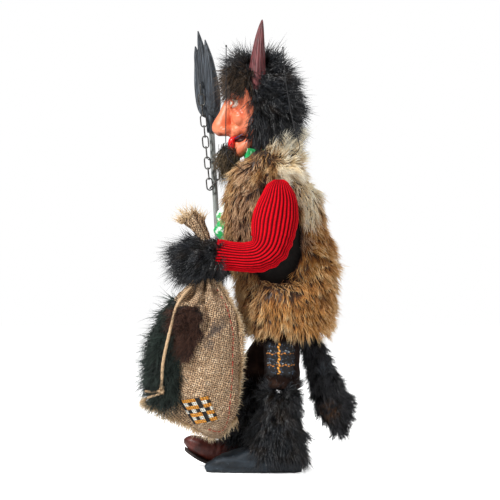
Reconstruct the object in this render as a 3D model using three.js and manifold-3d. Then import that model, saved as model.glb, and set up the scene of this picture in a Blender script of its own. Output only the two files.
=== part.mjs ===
// A carved string-puppet devil standing on a hoof and a boot, with a trident and a burlap sack.
// Millimetres, +Z up. The figure faces -Y and its left side is +X.
import * as THREE from "three";
import { mergeVertices } from "three/addons/utils/BufferGeometryUtils.js";
import Module from "manifold-3d";

const wasm = await Module();
wasm.setup();

// Clearances and common sizes
const gap = 0.4;
const seam = 1.2;
const roundSides = 12;

// Heights and places of the joints
const hipZ = 170;
const kneeZ = 108;
const legX = 31;
const leftHipY = 20;
const leftKneeY = 23;
const rightHipY = 14;
const rightKneeY = -4;
const shoulderZ = 322;
const shoulderY = 16;
const elbowZ = 252;
const elbowY = 8;
const armX = 63;
const neckZ = 350;
const nodZ = 398;
const neckY = 4;

// Wooden trunk with shirt and vest
const trunkHalfWidth = 31;
const shirtThickness = 3;
const vestThickness = 5;
const vestFlare = 28;
const hemZ = 157;
const neckPostRadius = 8;
const neckPostDepth = 34;
const shoulderRodRadius = 2.5;
const pelvisBottomZ = 146;
const pelvisTopZ = 188;

// Head
const skullTopZ = 474;
const eyeRadius = 6.8;
const eyeSpacing = 25;
const noseRadius = 11.5;
const noseReach = 45;
const hairThickness = 11;
const hornRadius = 9.5;
const hornSpacing = 38;
const hornBaseZ = 452;
const hornTipZ = 520;
const earLength = 34;
const jawHingeY = -8;
const jawHingeZ = 388;
const jawPinRadius = 1.4;
const tongueWidth = 9;

// Arms
const armRadius = 8.5;
const upperSleeveRadius = 22;
const sleeveHalfWidth = 19;
const lowerSleeveRadius = 16;
const elbowPinRadius = 1.5;
const elbowBlock = 9;
const leftFistY = -66;
const rightFistY = -52;
const rightFistX = -88;
const fistRadius = 13.5;
const cuffRadius = 21;
const elbowLift = 35;

// Sack
const sackTopZ = 222;
const sackBottomZ = 42;
const sackX = 60;
const sackHalfWidth = 25;
const sackNeckRadius = 7;
const sackNeckTopZ = 300;
const patchThickness = 1.5;
const flapTipY = -134;
const ropeRadius = 1.85;

// Trident and chain
const poleRadius = 3.3;
const poleBottomZ = 40;
const poleLean = -0.0556;
const poleTopZ = 412;
const gripZ = 250;
const tineLength = 100;
const tineSpread = 29;
const tineThickness = 15;
const tineWidth = 9;
const linkLength = 15.8;
const linkWidth = 8.2;
const linkWire = 1.3;
const downLinks = 10;
const chainTopZ = 458;

// Legs and feet
const thighRadius = 11;
const trouserRadius = 20;
const trouserHalfWidth = 18;
const trouserHemZ = 101;
const shinRadius = 9;
const shinFurBottomRadius = 27;
const shinFurTopRadius = 14;
const shinFurHalfWidth = 18;
const hoofLength = 109;
const hoofHalfWidth = 21;
const hoofHeight = 30;
const hoofToeY = -64;
const bootLength = 98;
const bootHalfWidth = 17;
const bootToeY = -92;
const toeLift = 20;
const bootSole = 4;
const ankleZ = 30;
const kneeSwing = 25;

// Tail
const tailX = 0;
const tailRootY = 47;
const tailRootZ = 158;
const tailHalfWidth = 10.5;
const tailLength = 118;

// Strings
const stringRadius = 0.35;
const stringX = 47;
const stringTopZ = 487;

const paint = (color, roughness, metalness = 0) =>
  new THREE.MeshStandardMaterial({ color, roughness, metalness });
const skin = paint(0xc96a4a, 0.45);
const wood = paint(0xa98259, 0.7);
const blackFur = paint(0x17171a, 0.95);
const brownFur = paint(0x7d5c3c, 0.95);
const redKnit = paint(0xb30a20, 0.9);
const greenCheck = paint(0x6fae84, 0.9);
const burlap = paint(0xb59a74, 0.95);
const trouserCloth = paint(0x1b1310, 0.95);
const steel = paint(0x5a5d62, 0.4, 0.9);
const slate = paint(0x343b45, 0.6);
const hornPaint = paint(0x6b3437, 0.5);
const greyWood = paint(0x6f7376, 0.7);
const hoofPaint = paint(0x46505c, 0.55);
const bootLeather = paint(0x6e3a2c, 0.5);
const redPaint = paint(0xc01818, 0.4);
const thread = paint(0x202024, 0.8);
const rope = paint(0xc49a62, 0.9);
const checkCloth = paint(0xb06a2c, 0.9);
const soleLeather = paint(0x2a1a16, 0.7);

// Turns a closed geometry into a solid that can be cut and joined.
function solidOf(geometry) {
  const bare = new THREE.BufferGeometry();
  const plain = geometry.index ? geometry : mergeVertices(geometry);
  bare.setAttribute("position", plain.getAttribute("position").clone());
  bare.setIndex(Array.from(plain.index.array));
  const merged = mergeVertices(bare, 1e-4);
  return new wasm.Manifold(
    new wasm.Mesh({
      numProp: 3,
      vertProperties: new Float32Array(merged.attributes.position.array),
      triVerts: new Uint32Array(merged.index.array),
    }),
  );
}

// Turns a solid back into a geometry.
function geometryOf(solid) {
  const mesh = solid.getMesh();
  const geometry = new THREE.BufferGeometry();
  const step = mesh.numProp;
  const points = new Float32Array(mesh.numVert * 3);
  for (let i = 0; i < mesh.numVert; i++)
    for (let k = 0; k < 3; k++) points[3 * i + k] = mesh.vertProperties[step * i + k];
  geometry.setAttribute("position", new THREE.BufferAttribute(points, 3));
  geometry.setIndex(new THREE.BufferAttribute(new Uint32Array(mesh.triVerts), 1));
  geometry.computeVertexNormals();
  return geometry;
}

// Adds rows between the given ones on a smooth curve through all their numbers.
function refine(rows, perSpan) {
  const out = [];
  for (let i = 0; i < rows.length - 1; i++) {
    for (let s = 0; s < perSpan; s++) {
      const t = s / perSpan;
      const row = rows[i].map((value, k) => {
        const before = rows[Math.max(i - 1, 0)][k];
        const next = rows[i + 1][k];
        const after = rows[Math.min(i + 2, rows.length - 1)][k];
        const a = -0.5 * before + 1.5 * value - 1.5 * next + 0.5 * after;
        const b = before - 2.5 * value + 2 * next - 0.5 * after;
        const c = 0.5 * (next - before);
        return ((a * t + b) * t + c) * t + value;
      });
      out.push(row);
    }
  }
  out.push(rows.at(-1));
  return out;
}

// Lofts a closed form through rings. A row is [x, y, z, halfWidthX, halfDepth], with the ring square
// to the path in the YZ plane. Squareness 2 is an ellipse and more is boxier.
function loft(rows, sides = roundSides, squareness = 2, ripple = null, upright = false) {
  const points = [];
  const faces = [];
  const push = (x, y, z) => points.push(x, y, z) / 3 - 1;
  const power = 2 / squareness;
  const rings = rows.map(([x, y, z, halfX, halfD], i) => {
    const from = rows[Math.max(i - 1, 0)];
    const to = rows[Math.min(i + 1, rows.length - 1)];
    const along = Math.hypot(to[1] - from[1], to[2] - from[2]);
    const ty = upright ? 0 : (to[1] - from[1]) / along;
    const tz = upright ? 1 : (to[2] - from[2]) / along;
    const ring = [];
    for (let j = 0; j < sides; j++) {
      const angle = (2 * Math.PI * j) / sides;
      const swell = ripple ? ripple(angle, i / (rows.length - 1)) : 1;
      const c = Math.sign(Math.cos(angle)) * Math.abs(Math.cos(angle)) ** power * swell;
      const s = Math.sign(Math.sin(angle)) * Math.abs(Math.sin(angle)) ** power * swell;
      ring.push(push(x + halfX * c, y + halfD * s * tz, z - halfD * s * ty));
    }
    return ring;
  });
  for (let i = 0; i < rings.length - 1; i++)
    for (let j = 0; j < sides; j++) {
      const k = (j + 1) % sides;
      faces.push(rings[i][j], rings[i][k], rings[i + 1][k]);
      faces.push(rings[i][j], rings[i + 1][k], rings[i + 1][j]);
    }
  const bottom = push(...rows[0].slice(0, 3));
  const top = push(...rows.at(-1).slice(0, 3));
  for (let j = 0; j < sides; j++) {
    const k = (j + 1) % sides;
    faces.push(bottom, rings[0][k], rings[0][j]);
    faces.push(top, rings.at(-1)[j], rings.at(-1)[k]);
  }
  const geometry = new THREE.BufferGeometry();
  geometry.setAttribute("position", new THREE.Float32BufferAttribute(points, 3));
  geometry.setIndex(faces);
  return solidOf(geometry);
}

// A loft whose rings all lie flat.
const stack = (rows, sides, squareness, ripple) => loft(rows, sides, squareness, ripple, true);

// Widens every ring of a loft by an amount, and lengthens it by another.
function grow(rows, wider, longer = 0) {
  return rows.map(([x, y, z, halfX, halfD], i) => {
    const other = rows[i === 0 ? 1 : rows.length - 2];
    const last = i === 0 || i === rows.length - 1;
    const reach = Math.hypot(x - other[0], y - other[1], z - other[2]);
    const k = last ? longer / reach : 0;
    return [
      x + (x - other[0]) * k,
      y + (y - other[1]) * k,
      z + (z - other[2]) * k,
      Math.max(halfX + wider, 0.2),
      Math.max(halfD + wider, 0.2),
    ];
  });
}

// A round bar between two points.
function bar(from, to, radius, sides = 10, endRadius = radius) {
  const a = new THREE.Vector3(...from);
  const b = new THREE.Vector3(...to);
  const geometry = new THREE.CylinderGeometry(endRadius, radius, a.distanceTo(b), sides);
  const turn = new THREE.Quaternion().setFromUnitVectors(
    new THREE.Vector3(0, 1, 0),
    b.clone().sub(a).normalize(),
  );
  geometry.applyQuaternion(turn);
  geometry.translate(...a.add(b).multiplyScalar(0.5).toArray());
  return solidOf(geometry);
}

// A ball, squashed along each axis as asked.
function ball(centre, radius, squash = [1, 1, 1], sides = 10) {
  const geometry = new THREE.SphereGeometry(radius, sides, Math.round(sides * 0.7));
  geometry.scale(...squash);
  geometry.translate(...centre);
  return solidOf(geometry);
}

function block(from, to) {
  const size = to.map((value, k) => value - from[k]);
  const geometry = new THREE.BoxGeometry(...size);
  geometry.translate(...to.map((value, k) => (value + from[k]) / 2));
  return solidOf(geometry);
}

// A piece turned about a line along X through a point, in degrees. Positive lifts what points to -Y.
function turned(solid, y, z, degrees) {
  return solid.translate(0, -y, -z).rotate(-degrees, 0, 0).translate(0, y, z);
}

// All the places that a piece passes as it turns about that line.
function swept(solid, y, z, from, to, step = 5) {
  let all = turned(solid, y, z, from);
  const turns = Math.ceil((to - from) / step);
  for (let i = 1; i <= turns; i++)
    all = all.add(turned(solid, y, z, from + ((to - from) * i) / turns));
  return all;
}

// A round tube along points, with flat closed ends.
function tube(points, radius, steps, sides = 8) {
  const path = new THREE.CatmullRomCurve3(points.map((p) => new THREE.Vector3(...p)));
  const section = new THREE.Shape();
  for (let j = 0; j < sides; j++) {
    const angle = (2 * Math.PI * j) / sides;
    const at = [radius * Math.cos(angle), radius * Math.sin(angle)];
    if (j === 0) section.moveTo(...at);
    else section.lineTo(...at);
  }
  section.closePath();
  const geometry = new THREE.ExtrudeGeometry(section, { steps, extrudePath: path });
  geometry.deleteAttribute("normal");
  geometry.deleteAttribute("uv");
  return solidOf(mergeVertices(geometry, 1e-4));
}

const figure = new THREE.Group();
const solids = new Map();
function add(name, solid, material) {
  solids.set(name, { solid, material });
  return solid;
}

// Trunk rings: the wooden core, from the hem to the neck, as [x, y, z, halfWidthX, halfDepth].
const trunkTop = neckZ - 2;
const trunkRows = [
  [0, 19, pelvisTopZ + seam, trunkHalfWidth + 3, 40],
  [0, 23, 228, trunkHalfWidth, 45],
  [0, 17, 268, trunkHalfWidth, 50],
  [0, 11, 308, trunkHalfWidth, 44],
  [0, 9, 334, trunkHalfWidth - 1, 37],
  [0, 9, trunkTop, trunkHalfWidth - 6, 25],
];
const trunkSquareness = 2.4;
const trunkSides = 14;
const trunk = (wider, longer = 0) =>
  stack(grow(trunkRows, wider, longer), trunkSides, trunkSquareness);

// The neckline slopes up towards the back.
const necklineFrontZ = 346;
const necklineBackZ = 374;
function aboveNeckline(lift) {
  const profile = new THREE.Shape();
  profile.moveTo(-90, necklineFrontZ + lift);
  profile.lineTo(-34, necklineFrontZ + lift);
  profile.lineTo(48, necklineBackZ + lift);
  profile.lineTo(110, necklineBackZ + lift);
  profile.lineTo(110, 600);
  profile.lineTo(-90, 600);
  profile.closePath();
  const width = 300;
  const geometry = new THREE.ExtrudeGeometry(profile, { depth: width, bevelEnabled: false });
  geometry.deleteAttribute("normal");
  geometry.deleteAttribute("uv");
  geometry.translate(0, 0, -width / 2);
  geometry.applyMatrix4(new THREE.Matrix4().set(0, 0, 1, 0, 1, 0, 0, 0, 0, 1, 0, 0, 0, 0, 0, 1));
  return solidOf(mergeVertices(geometry, 1e-4));
}

const shoulderRod = bar(
  [-armX - 6, shoulderY, shoulderZ],
  [armX + 6, shoulderY, shoulderZ],
  shoulderRodRadius,
);
const shoulderBore = bar(
  [-armX - 20, shoulderY, shoulderZ],
  [armX + 20, shoulderY, shoulderZ],
  shoulderRodRadius + gap,
);
const neckSides = 16;
const neckBore = bar(
  [0, neckY, neckZ - neckPostDepth - seam],
  [0, neckY, neckZ + 60],
  neckPostRadius + gap,
  neckSides,
);
add("torso_block", trunk(0).subtract(neckBore).subtract(shoulderBore), wood);
add("shoulder_rod", shoulderRod, steel);

// Shirt with a standing collar round the neck
const shirtHem = block([-90, -90, 0], [90, 120, pelvisTopZ + 2 * seam]);
const shirtOut = trunk(gap + shirtThickness, shirtThickness).subtract(shirtHem);
const collar = stack(
  [
    [0, 7, trunkTop + gap + 0.2, 20, 22],
    [0, 8, trunkTop + 24, 23, 24],
  ],
  trunkSides,
).subtract(aboveNeckline(3));
const collarCut = stack(
  [
    [0, 7, trunkTop - 12, neckPostRadius + 8, neckPostRadius + 9],
    [0, 8, trunkTop + 28, neckPostRadius + 12, neckPostRadius + 13],
  ],
  trunkSides,
);
const shirt = shirtOut.add(collar).subtract(trunk(gap, gap)).subtract(collarCut).subtract(shoulderBore);
add("shirt", shirt, greenCheck);

// Fur vest: an open shell with two armholes, wider below the arms.
const vestHalfWidth = trunkHalfWidth + 2 * gap + shirtThickness + vestThickness;
const vestRows = [
  [0, 20, hemZ, trunkHalfWidth + vestFlare, 42],
  [0, 29, 198, trunkHalfWidth + 4 + vestFlare, 50],
  [0, 27, 214, trunkHalfWidth + vestFlare - 5, 54],
  [0, 24, 232, vestHalfWidth, 55],
  [0, 17, 268, vestHalfWidth, 60],
  [0, 11, 308, vestHalfWidth, 54],
  [0, 9, 336, vestHalfWidth - 1, 47],
  [0, 12, 360, trunkHalfWidth + 1, 36],
  [0, 14, necklineBackZ + 3, trunkHalfWidth - 5, 30],
];
const armholeRows = [
  [0, 12, 262, 60, 22],
  [0, 13, 290, 60, 30],
  [0, 15, 318, 60, 29],
  [0, 16, 338, 60, 20],
];
const vestHollow = trunk(gap * 2 + shirtThickness, shirtThickness + gap);
const skirtHollow = stack(
  [
    [0, 20, hemZ - 10, trunkHalfWidth + vestFlare - 4, 38.5],
    [0, 27, 192, trunkHalfWidth + vestFlare - 3, 43],
    [0, 25, 214, trunkHalfWidth + vestFlare - 13, 47],
    [0, 22, 234, trunkHalfWidth + 2, 45],
  ],
  trunkSides,
  trunkSquareness,
);
const vestNeck = stack(
  [
    [0, 8, trunkTop - 12, 25, 27],
    [0, 8, trunkTop + 36, 26, 28],
  ],
  trunkSides,
);
const vest = stack(vestRows, 18, trunkSquareness)
  .subtract(vestHollow)
  .subtract(skirtHollow)
  .subtract(vestNeck)
  .subtract(loft(armholeRows, 10))
  .subtract(aboveNeckline(0));
add("vest", vest, brownFur);

// Pelvis block with the rod that both hips turn on, and the seat of the trousers round it
const hipRodRadius = 2.2;
const pelvisHalfWidth = legX - trouserHalfWidth - 2 * gap;
const pelvisRows = [
  [0, 16, pelvisBottomZ, pelvisHalfWidth - 2, 24],
  [0, 17, 165, pelvisHalfWidth, 27],
  [0, 19, pelvisTopZ, pelvisHalfWidth, 30],
];
const hipRods = [
  [leftHipY, 1],
  [rightHipY, -1],
].map(([y, side]) => bar([0, y, hipZ], [side * (legX + 9), y, hipZ], hipRodRadius));
const pelvis = stack(pelvisRows, 16, 3).add(hipRods[0]).add(hipRods[1]);
add("pelvis_block", pelvis, wood);

// Head: skull, brow, eyeballs, nose, cheeks and upper lip are carved as one piece.
const headRows = [
  [0, 6, 381, 17, 14],
  [0, -3, 394, 24, 27],
  [0, -4, 410, 28, 31],
  [0, -4, 425, 29, 33],
  [0, -2, 440, 30, 34],
  [0, 0, 456, 28, 31],
  [0, 2, 468, 20, 22],
  [0, 3, skullTopZ, 9, 10],
];
const noseRows = [
  [0, -30, 434, 5, 6],
  [0, -38, 424, 5.5, 6.5],
  [0, -noseReach + 1, 412, 7.5, 8.5],
  [0, -noseReach, 400, noseRadius * 0.95, noseRadius],
  [0, -noseReach + 4, 391, noseRadius * 0.75, noseRadius * 0.7],
];
const lipRows = [
  [0, -26, 402, 15, 9],
  [0, -29, 392, 14, 9],
  [0, -29, 387, 11, 7],
];
const cheeks = [1, -1].map((side) => ball([side * 17, -25, 411], 9, [0.9, 0.8, 1], 8));
const browRows = [
  [0, -33, 431, 21, 3],
  [0, -35, 436, 23, 5],
  [0, -32, 442, 21, 4],
];
const brows = loft(browRows, 8);
const earRows = (side) => [
  [side * 25, -9, nodZ - 4, 3, 4],
  [side * 29, -12, nodZ + 8, 5, 7],
  [side * 31, -11, nodZ + 18, 4.5, 6.5],
  [side * 35, -14, nodZ - 4 + earLength, 1, 1.5],
];
const ears = [1, -1].map((side) => loft(earRows(side), 6));
const jawSpan = 15;
const jawBore = bar(
  [-jawSpan - 9, jawHingeY, jawHingeZ],
  [jawSpan + 9, jawHingeY, jawHingeZ],
  jawPinRadius + gap,
);
const neckSocket = bar(
  [0, neckY, 372],
  [0, neckY, nodZ + 12],
  neckPostRadius + 5,
  12,
  neckPostRadius + 2,
);
const nodPinHalf = neckPostRadius + 7;
const nodBore = bar([-nodPinHalf - 1, neckY, nodZ], [nodPinHalf + 1, neckY, nodZ], 1.5 + gap);
const hornRows = [
  [0, -4, hornBaseZ, hornRadius * 0.8, hornRadius * 0.8],
  [0, -5, hornBaseZ + 14, hornRadius * 0.95, hornRadius * 0.95],
  [0, -5, hornBaseZ + 26, hornRadius * 0.85, hornRadius * 0.85],
  [0, -4, hornBaseZ + 40, hornRadius * 0.62, hornRadius * 0.66],
  [0, -2, hornBaseZ + 54, hornRadius * 0.4, hornRadius * 0.42],
  [0, 0.5, hornTipZ, 0.5, 0.5],
];
const hornAt = (side, wider, longer = 0) =>
  loft(
    grow(hornRows, wider, longer).map(([x, y, z, a, b]) => [x + (side * hornSpacing) / 2, y, z, a, b]),
    10,
  );
const eyeAt = (side, extra) =>
  ball([(side * eyeSpacing) / 2, -30, 425], eyeRadius + extra, [1, 1, 1], 8);
let head = stack(headRows, 14).add(loft(noseRows, 8)).add(loft(lipRows, 8)).add(brows);
for (const piece of [...cheeks, ...ears]) head = head.add(piece);
for (const side of [1, -1]) {
  head = head.add(eyeAt(side, 0)).subtract(hornAt(side, gap, gap));
}
const jawRows = [
  [0, jawHingeY, jawHingeZ - 3, jawSpan, 5],
  [0, -20, jawHingeZ - 10, 15, 8],
  [0, -32, jawHingeZ - 17, 12, 8],
  [0, -39, jawHingeZ - 22, 7, 5],
];
const jawSolid = loft(jawRows, 10).add(
  bar([-jawSpan, jawHingeY, jawHingeZ], [jawSpan, jawHingeY, jawHingeZ], 5),
);
const jawOpen = 10;
const jawShut = 4;
const jawRoom = loft(grow(jawRows, 2 * seam, 4), 8);
head = head
  .subtract(swept(jawRoom, jawHingeY, jawHingeZ, -jawOpen, jawShut, 20))
  .subtract(bar([-jawSpan - 2 * seam, jawHingeY, jawHingeZ], [jawSpan + 2 * seam, jawHingeY, jawHingeZ], 6.4))
  .subtract(jawBore)
  .subtract(neckSocket)
  .subtract(nodBore);
add("head", head, skin);
for (const side of [1, -1]) {
  const word = side > 0 ? "left" : "right";
  add("horn_" + word, hornAt(side, 0), hornPaint);
}
const neckPost = bar([0, neckY, neckZ - neckPostDepth], [0, neckY, nodZ + 5], neckPostRadius, neckSides).add(
  bar([-nodPinHalf, neckY, nodZ], [nodPinHalf, neckY, nodZ], 1.5),
);
add("neck_post", neckPost, wood);

// Wig of black fur, open at the face, the ears and the neck
const wigRows = [
  [0, 12, 385, 31, 26],
  [0, 9, 398, 28 + hairThickness, 36],
  [0, 6, 412, 30 + hairThickness, 40],
  [0, 2, 427, 31 + hairThickness, 42],
  [0, -3, 448, 31 + hairThickness, 43],
  [0, -6, 465, 25 + hairThickness, 40],
  [0, -7, 479, 13 + hairThickness, 28],
  [0, -5, 487, 2 + hairThickness, 13],
];
const faceOpening = loft(
  [
    [0, -46, 370, 29, 30],
    [0, -44, 400, 29, 27],
    [0, -44, 425, 27, 22],
    [0, -42, 443, 24, 16],
  ],
  10,
);
const wigSides = 14;
let wig = stack(wigRows, wigSides)
  .subtract(stack(grow(headRows, gap, gap), wigSides))
  .subtract(faceOpening)
  .subtract(bar([0, neckY, 370], [0, neckY, 400], 22, wigSides))
  .subtract(swept(loft(grow(jawRows, 5, 5), 8), jawHingeY, jawHingeZ, -jawOpen, jawShut, 20))
  .subtract(bar([-jawSpan - 7, jawHingeY, jawHingeZ], [jawSpan + 7, jawHingeY, jawHingeZ], 4))
  .subtract(loft(grow(browRows, seam, seam), 8))
  .subtract(block([-60, -60, 370], [60, -9, 402]));
for (const side of [1, -1]) {
  const earOpening = earRows(side).map(([x, y, z, a, b]) => [x + side * 6, y, z, a + 10, b + 4]);
  wig = wig
    .subtract(hornAt(side, gap))
    .subtract(loft(grow(earOpening, 0, 6), 6))
    .subtract(ball([side * 17, -25, 411], 9 + seam, [0.9, 0.8, 1], 8))
    .subtract(eyeAt(side, seam));
}
add("hair", wig, blackFur);

// Jaw with its pin, the tongue that lies over the lower lip, and the beard
const tongueRows = [
  [0, -24, jawHingeZ - 6.5, tongueWidth / 2, 1.6],
  [0, -33, jawHingeZ - 8, tongueWidth / 2, 1.6],
  [0, -39, jawHingeZ - 11, tongueWidth / 2, 1.6],
  [0, -44, jawHingeZ - 19, tongueWidth / 2.4, 1.4],
];
const tongue = loft(tongueRows, 10);
const tongueRoom = loft(grow(tongueRows, gap, gap), 10);
const beardRows = [
  [0, -38, jawHingeZ - 26, 8, 5],
  [0, -43, jawHingeZ - 29, 7, 5],
  [0, -47, jawHingeZ - 32, 4, 3],
];
const jaw = jawSolid
  .add(bar([-jawSpan - 6, jawHingeY, jawHingeZ], [jawSpan + 6, jawHingeY, jawHingeZ], jawPinRadius))
  .subtract(bar([0, neckY, 360], [0, neckY, 410], neckPostRadius + 4, 10))
  .subtract(tongueRoom);
add("jaw", jaw, skin);
add("tongue", tongue.subtract(loft(grow(beardRows, gap, gap), 12)), redPaint);
const beard = loft(beardRows, 12).subtract(loft(grow(jawRows, gap, gap), 12));
add("beard", beard, blackFur);

// Arms: a bored wooden upper arm and a forearm with its fist, in knit sleeves and a fur cuff.
function arm(word, side, fistX, fistY, gripHole) {
  const x = side * armX;
  const upperRows = [
    [x, elbowY, elbowZ, armRadius, armRadius],
    [x, shoulderY - 3, (elbowZ + shoulderZ) / 2, armRadius, armRadius],
    [x, shoulderY, shoulderZ + 8, armRadius, armRadius],
  ];
  const foreRows = [
    [x, elbowY - 1, elbowZ, 3.4, armRadius - 1],
    [x, elbowY - elbowBlock - 1, elbowZ, 3.4, armRadius - 1],
    [x + (fistX - x) * 0.25, elbowY - 19, elbowZ - 1, 6, armRadius - 1],
    [x + (fistX - x) * 0.7, fistY + 20, elbowZ - 3, 7, 7],
    [fistX, fistY, elbowZ - 4, 7, 7],
  ];
  const slot = swept(
    block([x - 4, elbowY - 40, elbowZ - 9.5], [x + 4, elbowY + elbowBlock + 1, elbowZ + 9.5]),
    elbowY,
    elbowZ,
    0,
    elbowLift,
    18,
  );
  const pin = bar([x - armRadius, elbowY, elbowZ], [x + armRadius, elbowY, elbowZ], elbowPinRadius);
  const pinHole = bar([x - 20, elbowY, elbowZ], [x + 20, elbowY, elbowZ], elbowPinRadius + gap);
  const foreSolid = loft(foreRows, 8).add(
    bar([x - 3.4, elbowY, elbowZ], [x + 3.4, elbowY, elbowZ], armRadius - 1, 10),
  );
  const sleeveSlot = swept(
    block([x - 15, elbowY - 60, elbowZ - 10], [x + 15, elbowY - 1, elbowZ + 10]),
    elbowY,
    elbowZ,
    0,
    elbowLift,
    18,
  );
  const upper = loft(upperRows, 10)
    .add(bar([x - armRadius, elbowY, elbowZ], [x + armRadius, elbowY, elbowZ], elbowBlock, 10))
    .subtract(slot)
    .add(pin)
    .subtract(shoulderBore);
  add("upper_arm_" + word, upper, wood);
  const sleeveRows = [
    [x, elbowY, elbowZ, sleeveHalfWidth - 2, upperSleeveRadius],
    [x, elbowY + 2, elbowZ + 22, sleeveHalfWidth, upperSleeveRadius + 2],
    [x, shoulderY, shoulderZ - 20, sleeveHalfWidth, upperSleeveRadius + 2],
    [x, shoulderY + 1, shoulderZ, sleeveHalfWidth - 1, upperSleeveRadius - 2],
    [x, shoulderY + 2, shoulderZ + 13, sleeveHalfWidth - 8, upperSleeveRadius - 11],
  ];
  const elbowRound = bar(
    [x - sleeveHalfWidth + 2, elbowY, elbowZ],
    [x + sleeveHalfWidth - 2, elbowY, elbowZ],
    upperSleeveRadius,
    16,
  );
  const elbowRoom = bar(
    [x - sleeveHalfWidth - 30, elbowY, elbowZ],
    [x + sleeveHalfWidth + 30, elbowY, elbowZ],
    upperSleeveRadius + 1.5 * seam,
    16,
  );
  const upperSleeve = loft(sleeveRows, 14)
    .add(elbowRound)
    .subtract(loft(grow(upperRows, gap, gap), 10))
    .subtract(
      bar([x - armRadius - gap, elbowY, elbowZ], [x + armRadius + gap, elbowY, elbowZ], elbowBlock + gap, 10),
    )
    .subtract(sleeveSlot)
    .subtract(bar([0, shoulderY, shoulderZ], [side * (armX + 8), shoulderY, shoulderZ], shoulderRodRadius + 1));
  add("upper_sleeve_" + word, upperSleeve, redKnit);

  const wristY = fistY + 14;
  const at = (share) => x + (fistX - x) * share;
  const lowerRows = [
    [at(0.1), elbowY - 6, elbowZ - 2, lowerSleeveRadius, lowerSleeveRadius + 2],
    [at(0.5), (elbowY + wristY) / 2, elbowZ - 4, lowerSleeveRadius, lowerSleeveRadius + 1],
    [at(0.8), wristY + 1, elbowZ - 4, lowerSleeveRadius - 1, lowerSleeveRadius],
  ];
  const lowerSleeve = loft(lowerRows, 14)
    .subtract(elbowRoom)
    .subtract(swept(loft(grow(sleeveRows, seam, 0), 10), elbowY, elbowZ, -elbowLift, 0, 12))
    .subtract(loft(grow(foreRows, gap, 0), 8));
  add("lower_sleeve_" + word, lowerSleeve, redKnit);
  const fist = ball([fistX, fistY, elbowZ - 4], fistRadius, [0.85, 1, 1], 8);
  add("forearm_" + word, foreSolid.add(fist).subtract(pinHole).subtract(gripHole), skin);
  const cuffRows = [
    [at(0.85), wristY - 1, elbowZ - 4, cuffRadius * 0.75, cuffRadius * 0.8],
    [fistX, fistY + 4, elbowZ - 5, cuffRadius * 0.9, cuffRadius],
    [fistX, fistY - 9, elbowZ - 7, cuffRadius * 0.85, cuffRadius],
    [fistX, fistY - 17, elbowZ - 8, cuffRadius * 0.6, cuffRadius * 0.75],
  ];
  const cuff = loft(cuffRows, 10)
    .subtract(ball([fistX, fistY, elbowZ - 4], fistRadius + gap, [0.85, 1, 1], 8))
    .subtract(loft(grow(foreRows, gap, 0), 8))
    .subtract(gripHole)
    .subtract(block([fistX - 6, fistY - 60, elbowZ - 11], [fistX + 6, fistY - 8, elbowZ + 1]));
  add("fur_cuff_" + word, cuff, blackFur);
}

// Pole line: where the pole's middle lies at a height
const poleY = (z) => rightFistY + (z - gripZ) * poleLean;
const poleBar = (from, to, radius) =>
  bar([rightFistX, poleY(from), from], [rightFistX, poleY(to), to], radius, 12);
const poleHole = poleBar(poleBottomZ - 90, poleTopZ + 90, poleRadius + gap);
const neckHole = bar(
  [sackX, leftFistY, elbowZ - 60],
  [sackX, leftFistY, elbowZ + 60],
  sackNeckRadius + 2 * gap,
  16,
);
arm("left", 1, sackX, leftFistY, neckHole);
arm("right", -1, rightFistX, rightFistY, poleHole);

// Sack: its gathered neck stays in the fist, and the body hangs and swings below it.
const neckBottomZ = sackTopZ + 4 * seam;
const neckRows = [
  [sackX, leftFistY, neckBottomZ, sackNeckRadius, sackNeckRadius],
  [sackX, leftFistY, elbowZ + 20, sackNeckRadius, sackNeckRadius],
  [sackX, leftFistY - 4, elbowZ + 30, sackNeckRadius + 3, sackNeckRadius + 2],
  [sackX, leftFistY - 13, sackNeckTopZ, sackNeckRadius + 6, sackNeckRadius + 5],
];
add("sack_neck", stack(neckRows, 12), burlap);
const sackRows = [
  [sackX, -55, sackBottomZ, sackHalfWidth - 18, 10],
  [sackX, -53, sackBottomZ + 9, sackHalfWidth - 9, 24],
  [sackX, -52, sackBottomZ + 26, sackHalfWidth - 3, 34],
  [sackX, -57, 95, sackHalfWidth, 39],
  [sackX, -58, 130, sackHalfWidth + 1, 40],
  [sackX, -60, 165, sackHalfWidth, 40],
  [sackX, -65, 192, sackHalfWidth - 4, 34],
  [sackX, leftFistY - 1, sackTopZ - 14, 15, 21],
  [sackX, leftFistY, sackTopZ, 6, 6],
];
const flapRows = [
  [sackX, -76, 66, 11, 14],
  [sackX, -104, 68, 10, 13],
  [sackX, flapTipY, 70, 6, 9],
];
const sackSides = 18;
const sackFold = (angle, t) => 1 + 0.07 * (1 - t) ** 2 * t * 4 * Math.cos(5 * angle);
const sackSkin = (out) => stack(grow(sackRows, out, 0), sackSides, 2, sackFold);

// A patch is a slab set just off the sack's own skin, inside an outline.
const patch = (outline, thickness) =>
  sackSkin(gap + thickness).subtract(sackSkin(gap)).intersect(outline);
const brownRows = [
  [sackX + 24, -92, 146, 22, 14],
  [sackX + 24, -88, 165, 22, 19],
  [sackX + 24, -90, 186, 22, 15],
];
const blackRows = [
  [sackX, -108, 84, 15, 19],
  [sackX, -111, 104, 19, 20],
  [sackX, -110, 130, 19, 19],
  [sackX, -109, 154, 17, 17],
  [sackX, -103, 178, 14, 14],
  [sackX, -95, 198, 8, 9],
];
const clothOutline = bar([sackX + 2, -68, 76], [sackX + 60, -68, 76], 20, 4);
add("sack", sackSkin(0).add(loft(flapRows, 10)), burlap);
add("sack_brown_fur_patch", patch(loft(brownRows, 10), 3), brownFur);
add(
  "sack_black_fur_patch",
  stack(blackRows, 14)
    .subtract(sackSkin(gap))
    .subtract(loft(grow(brownRows, seam, seam), 10))
    .subtract(loft(grow(flapRows, gap, gap), 10)),
  blackFur,
);
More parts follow.
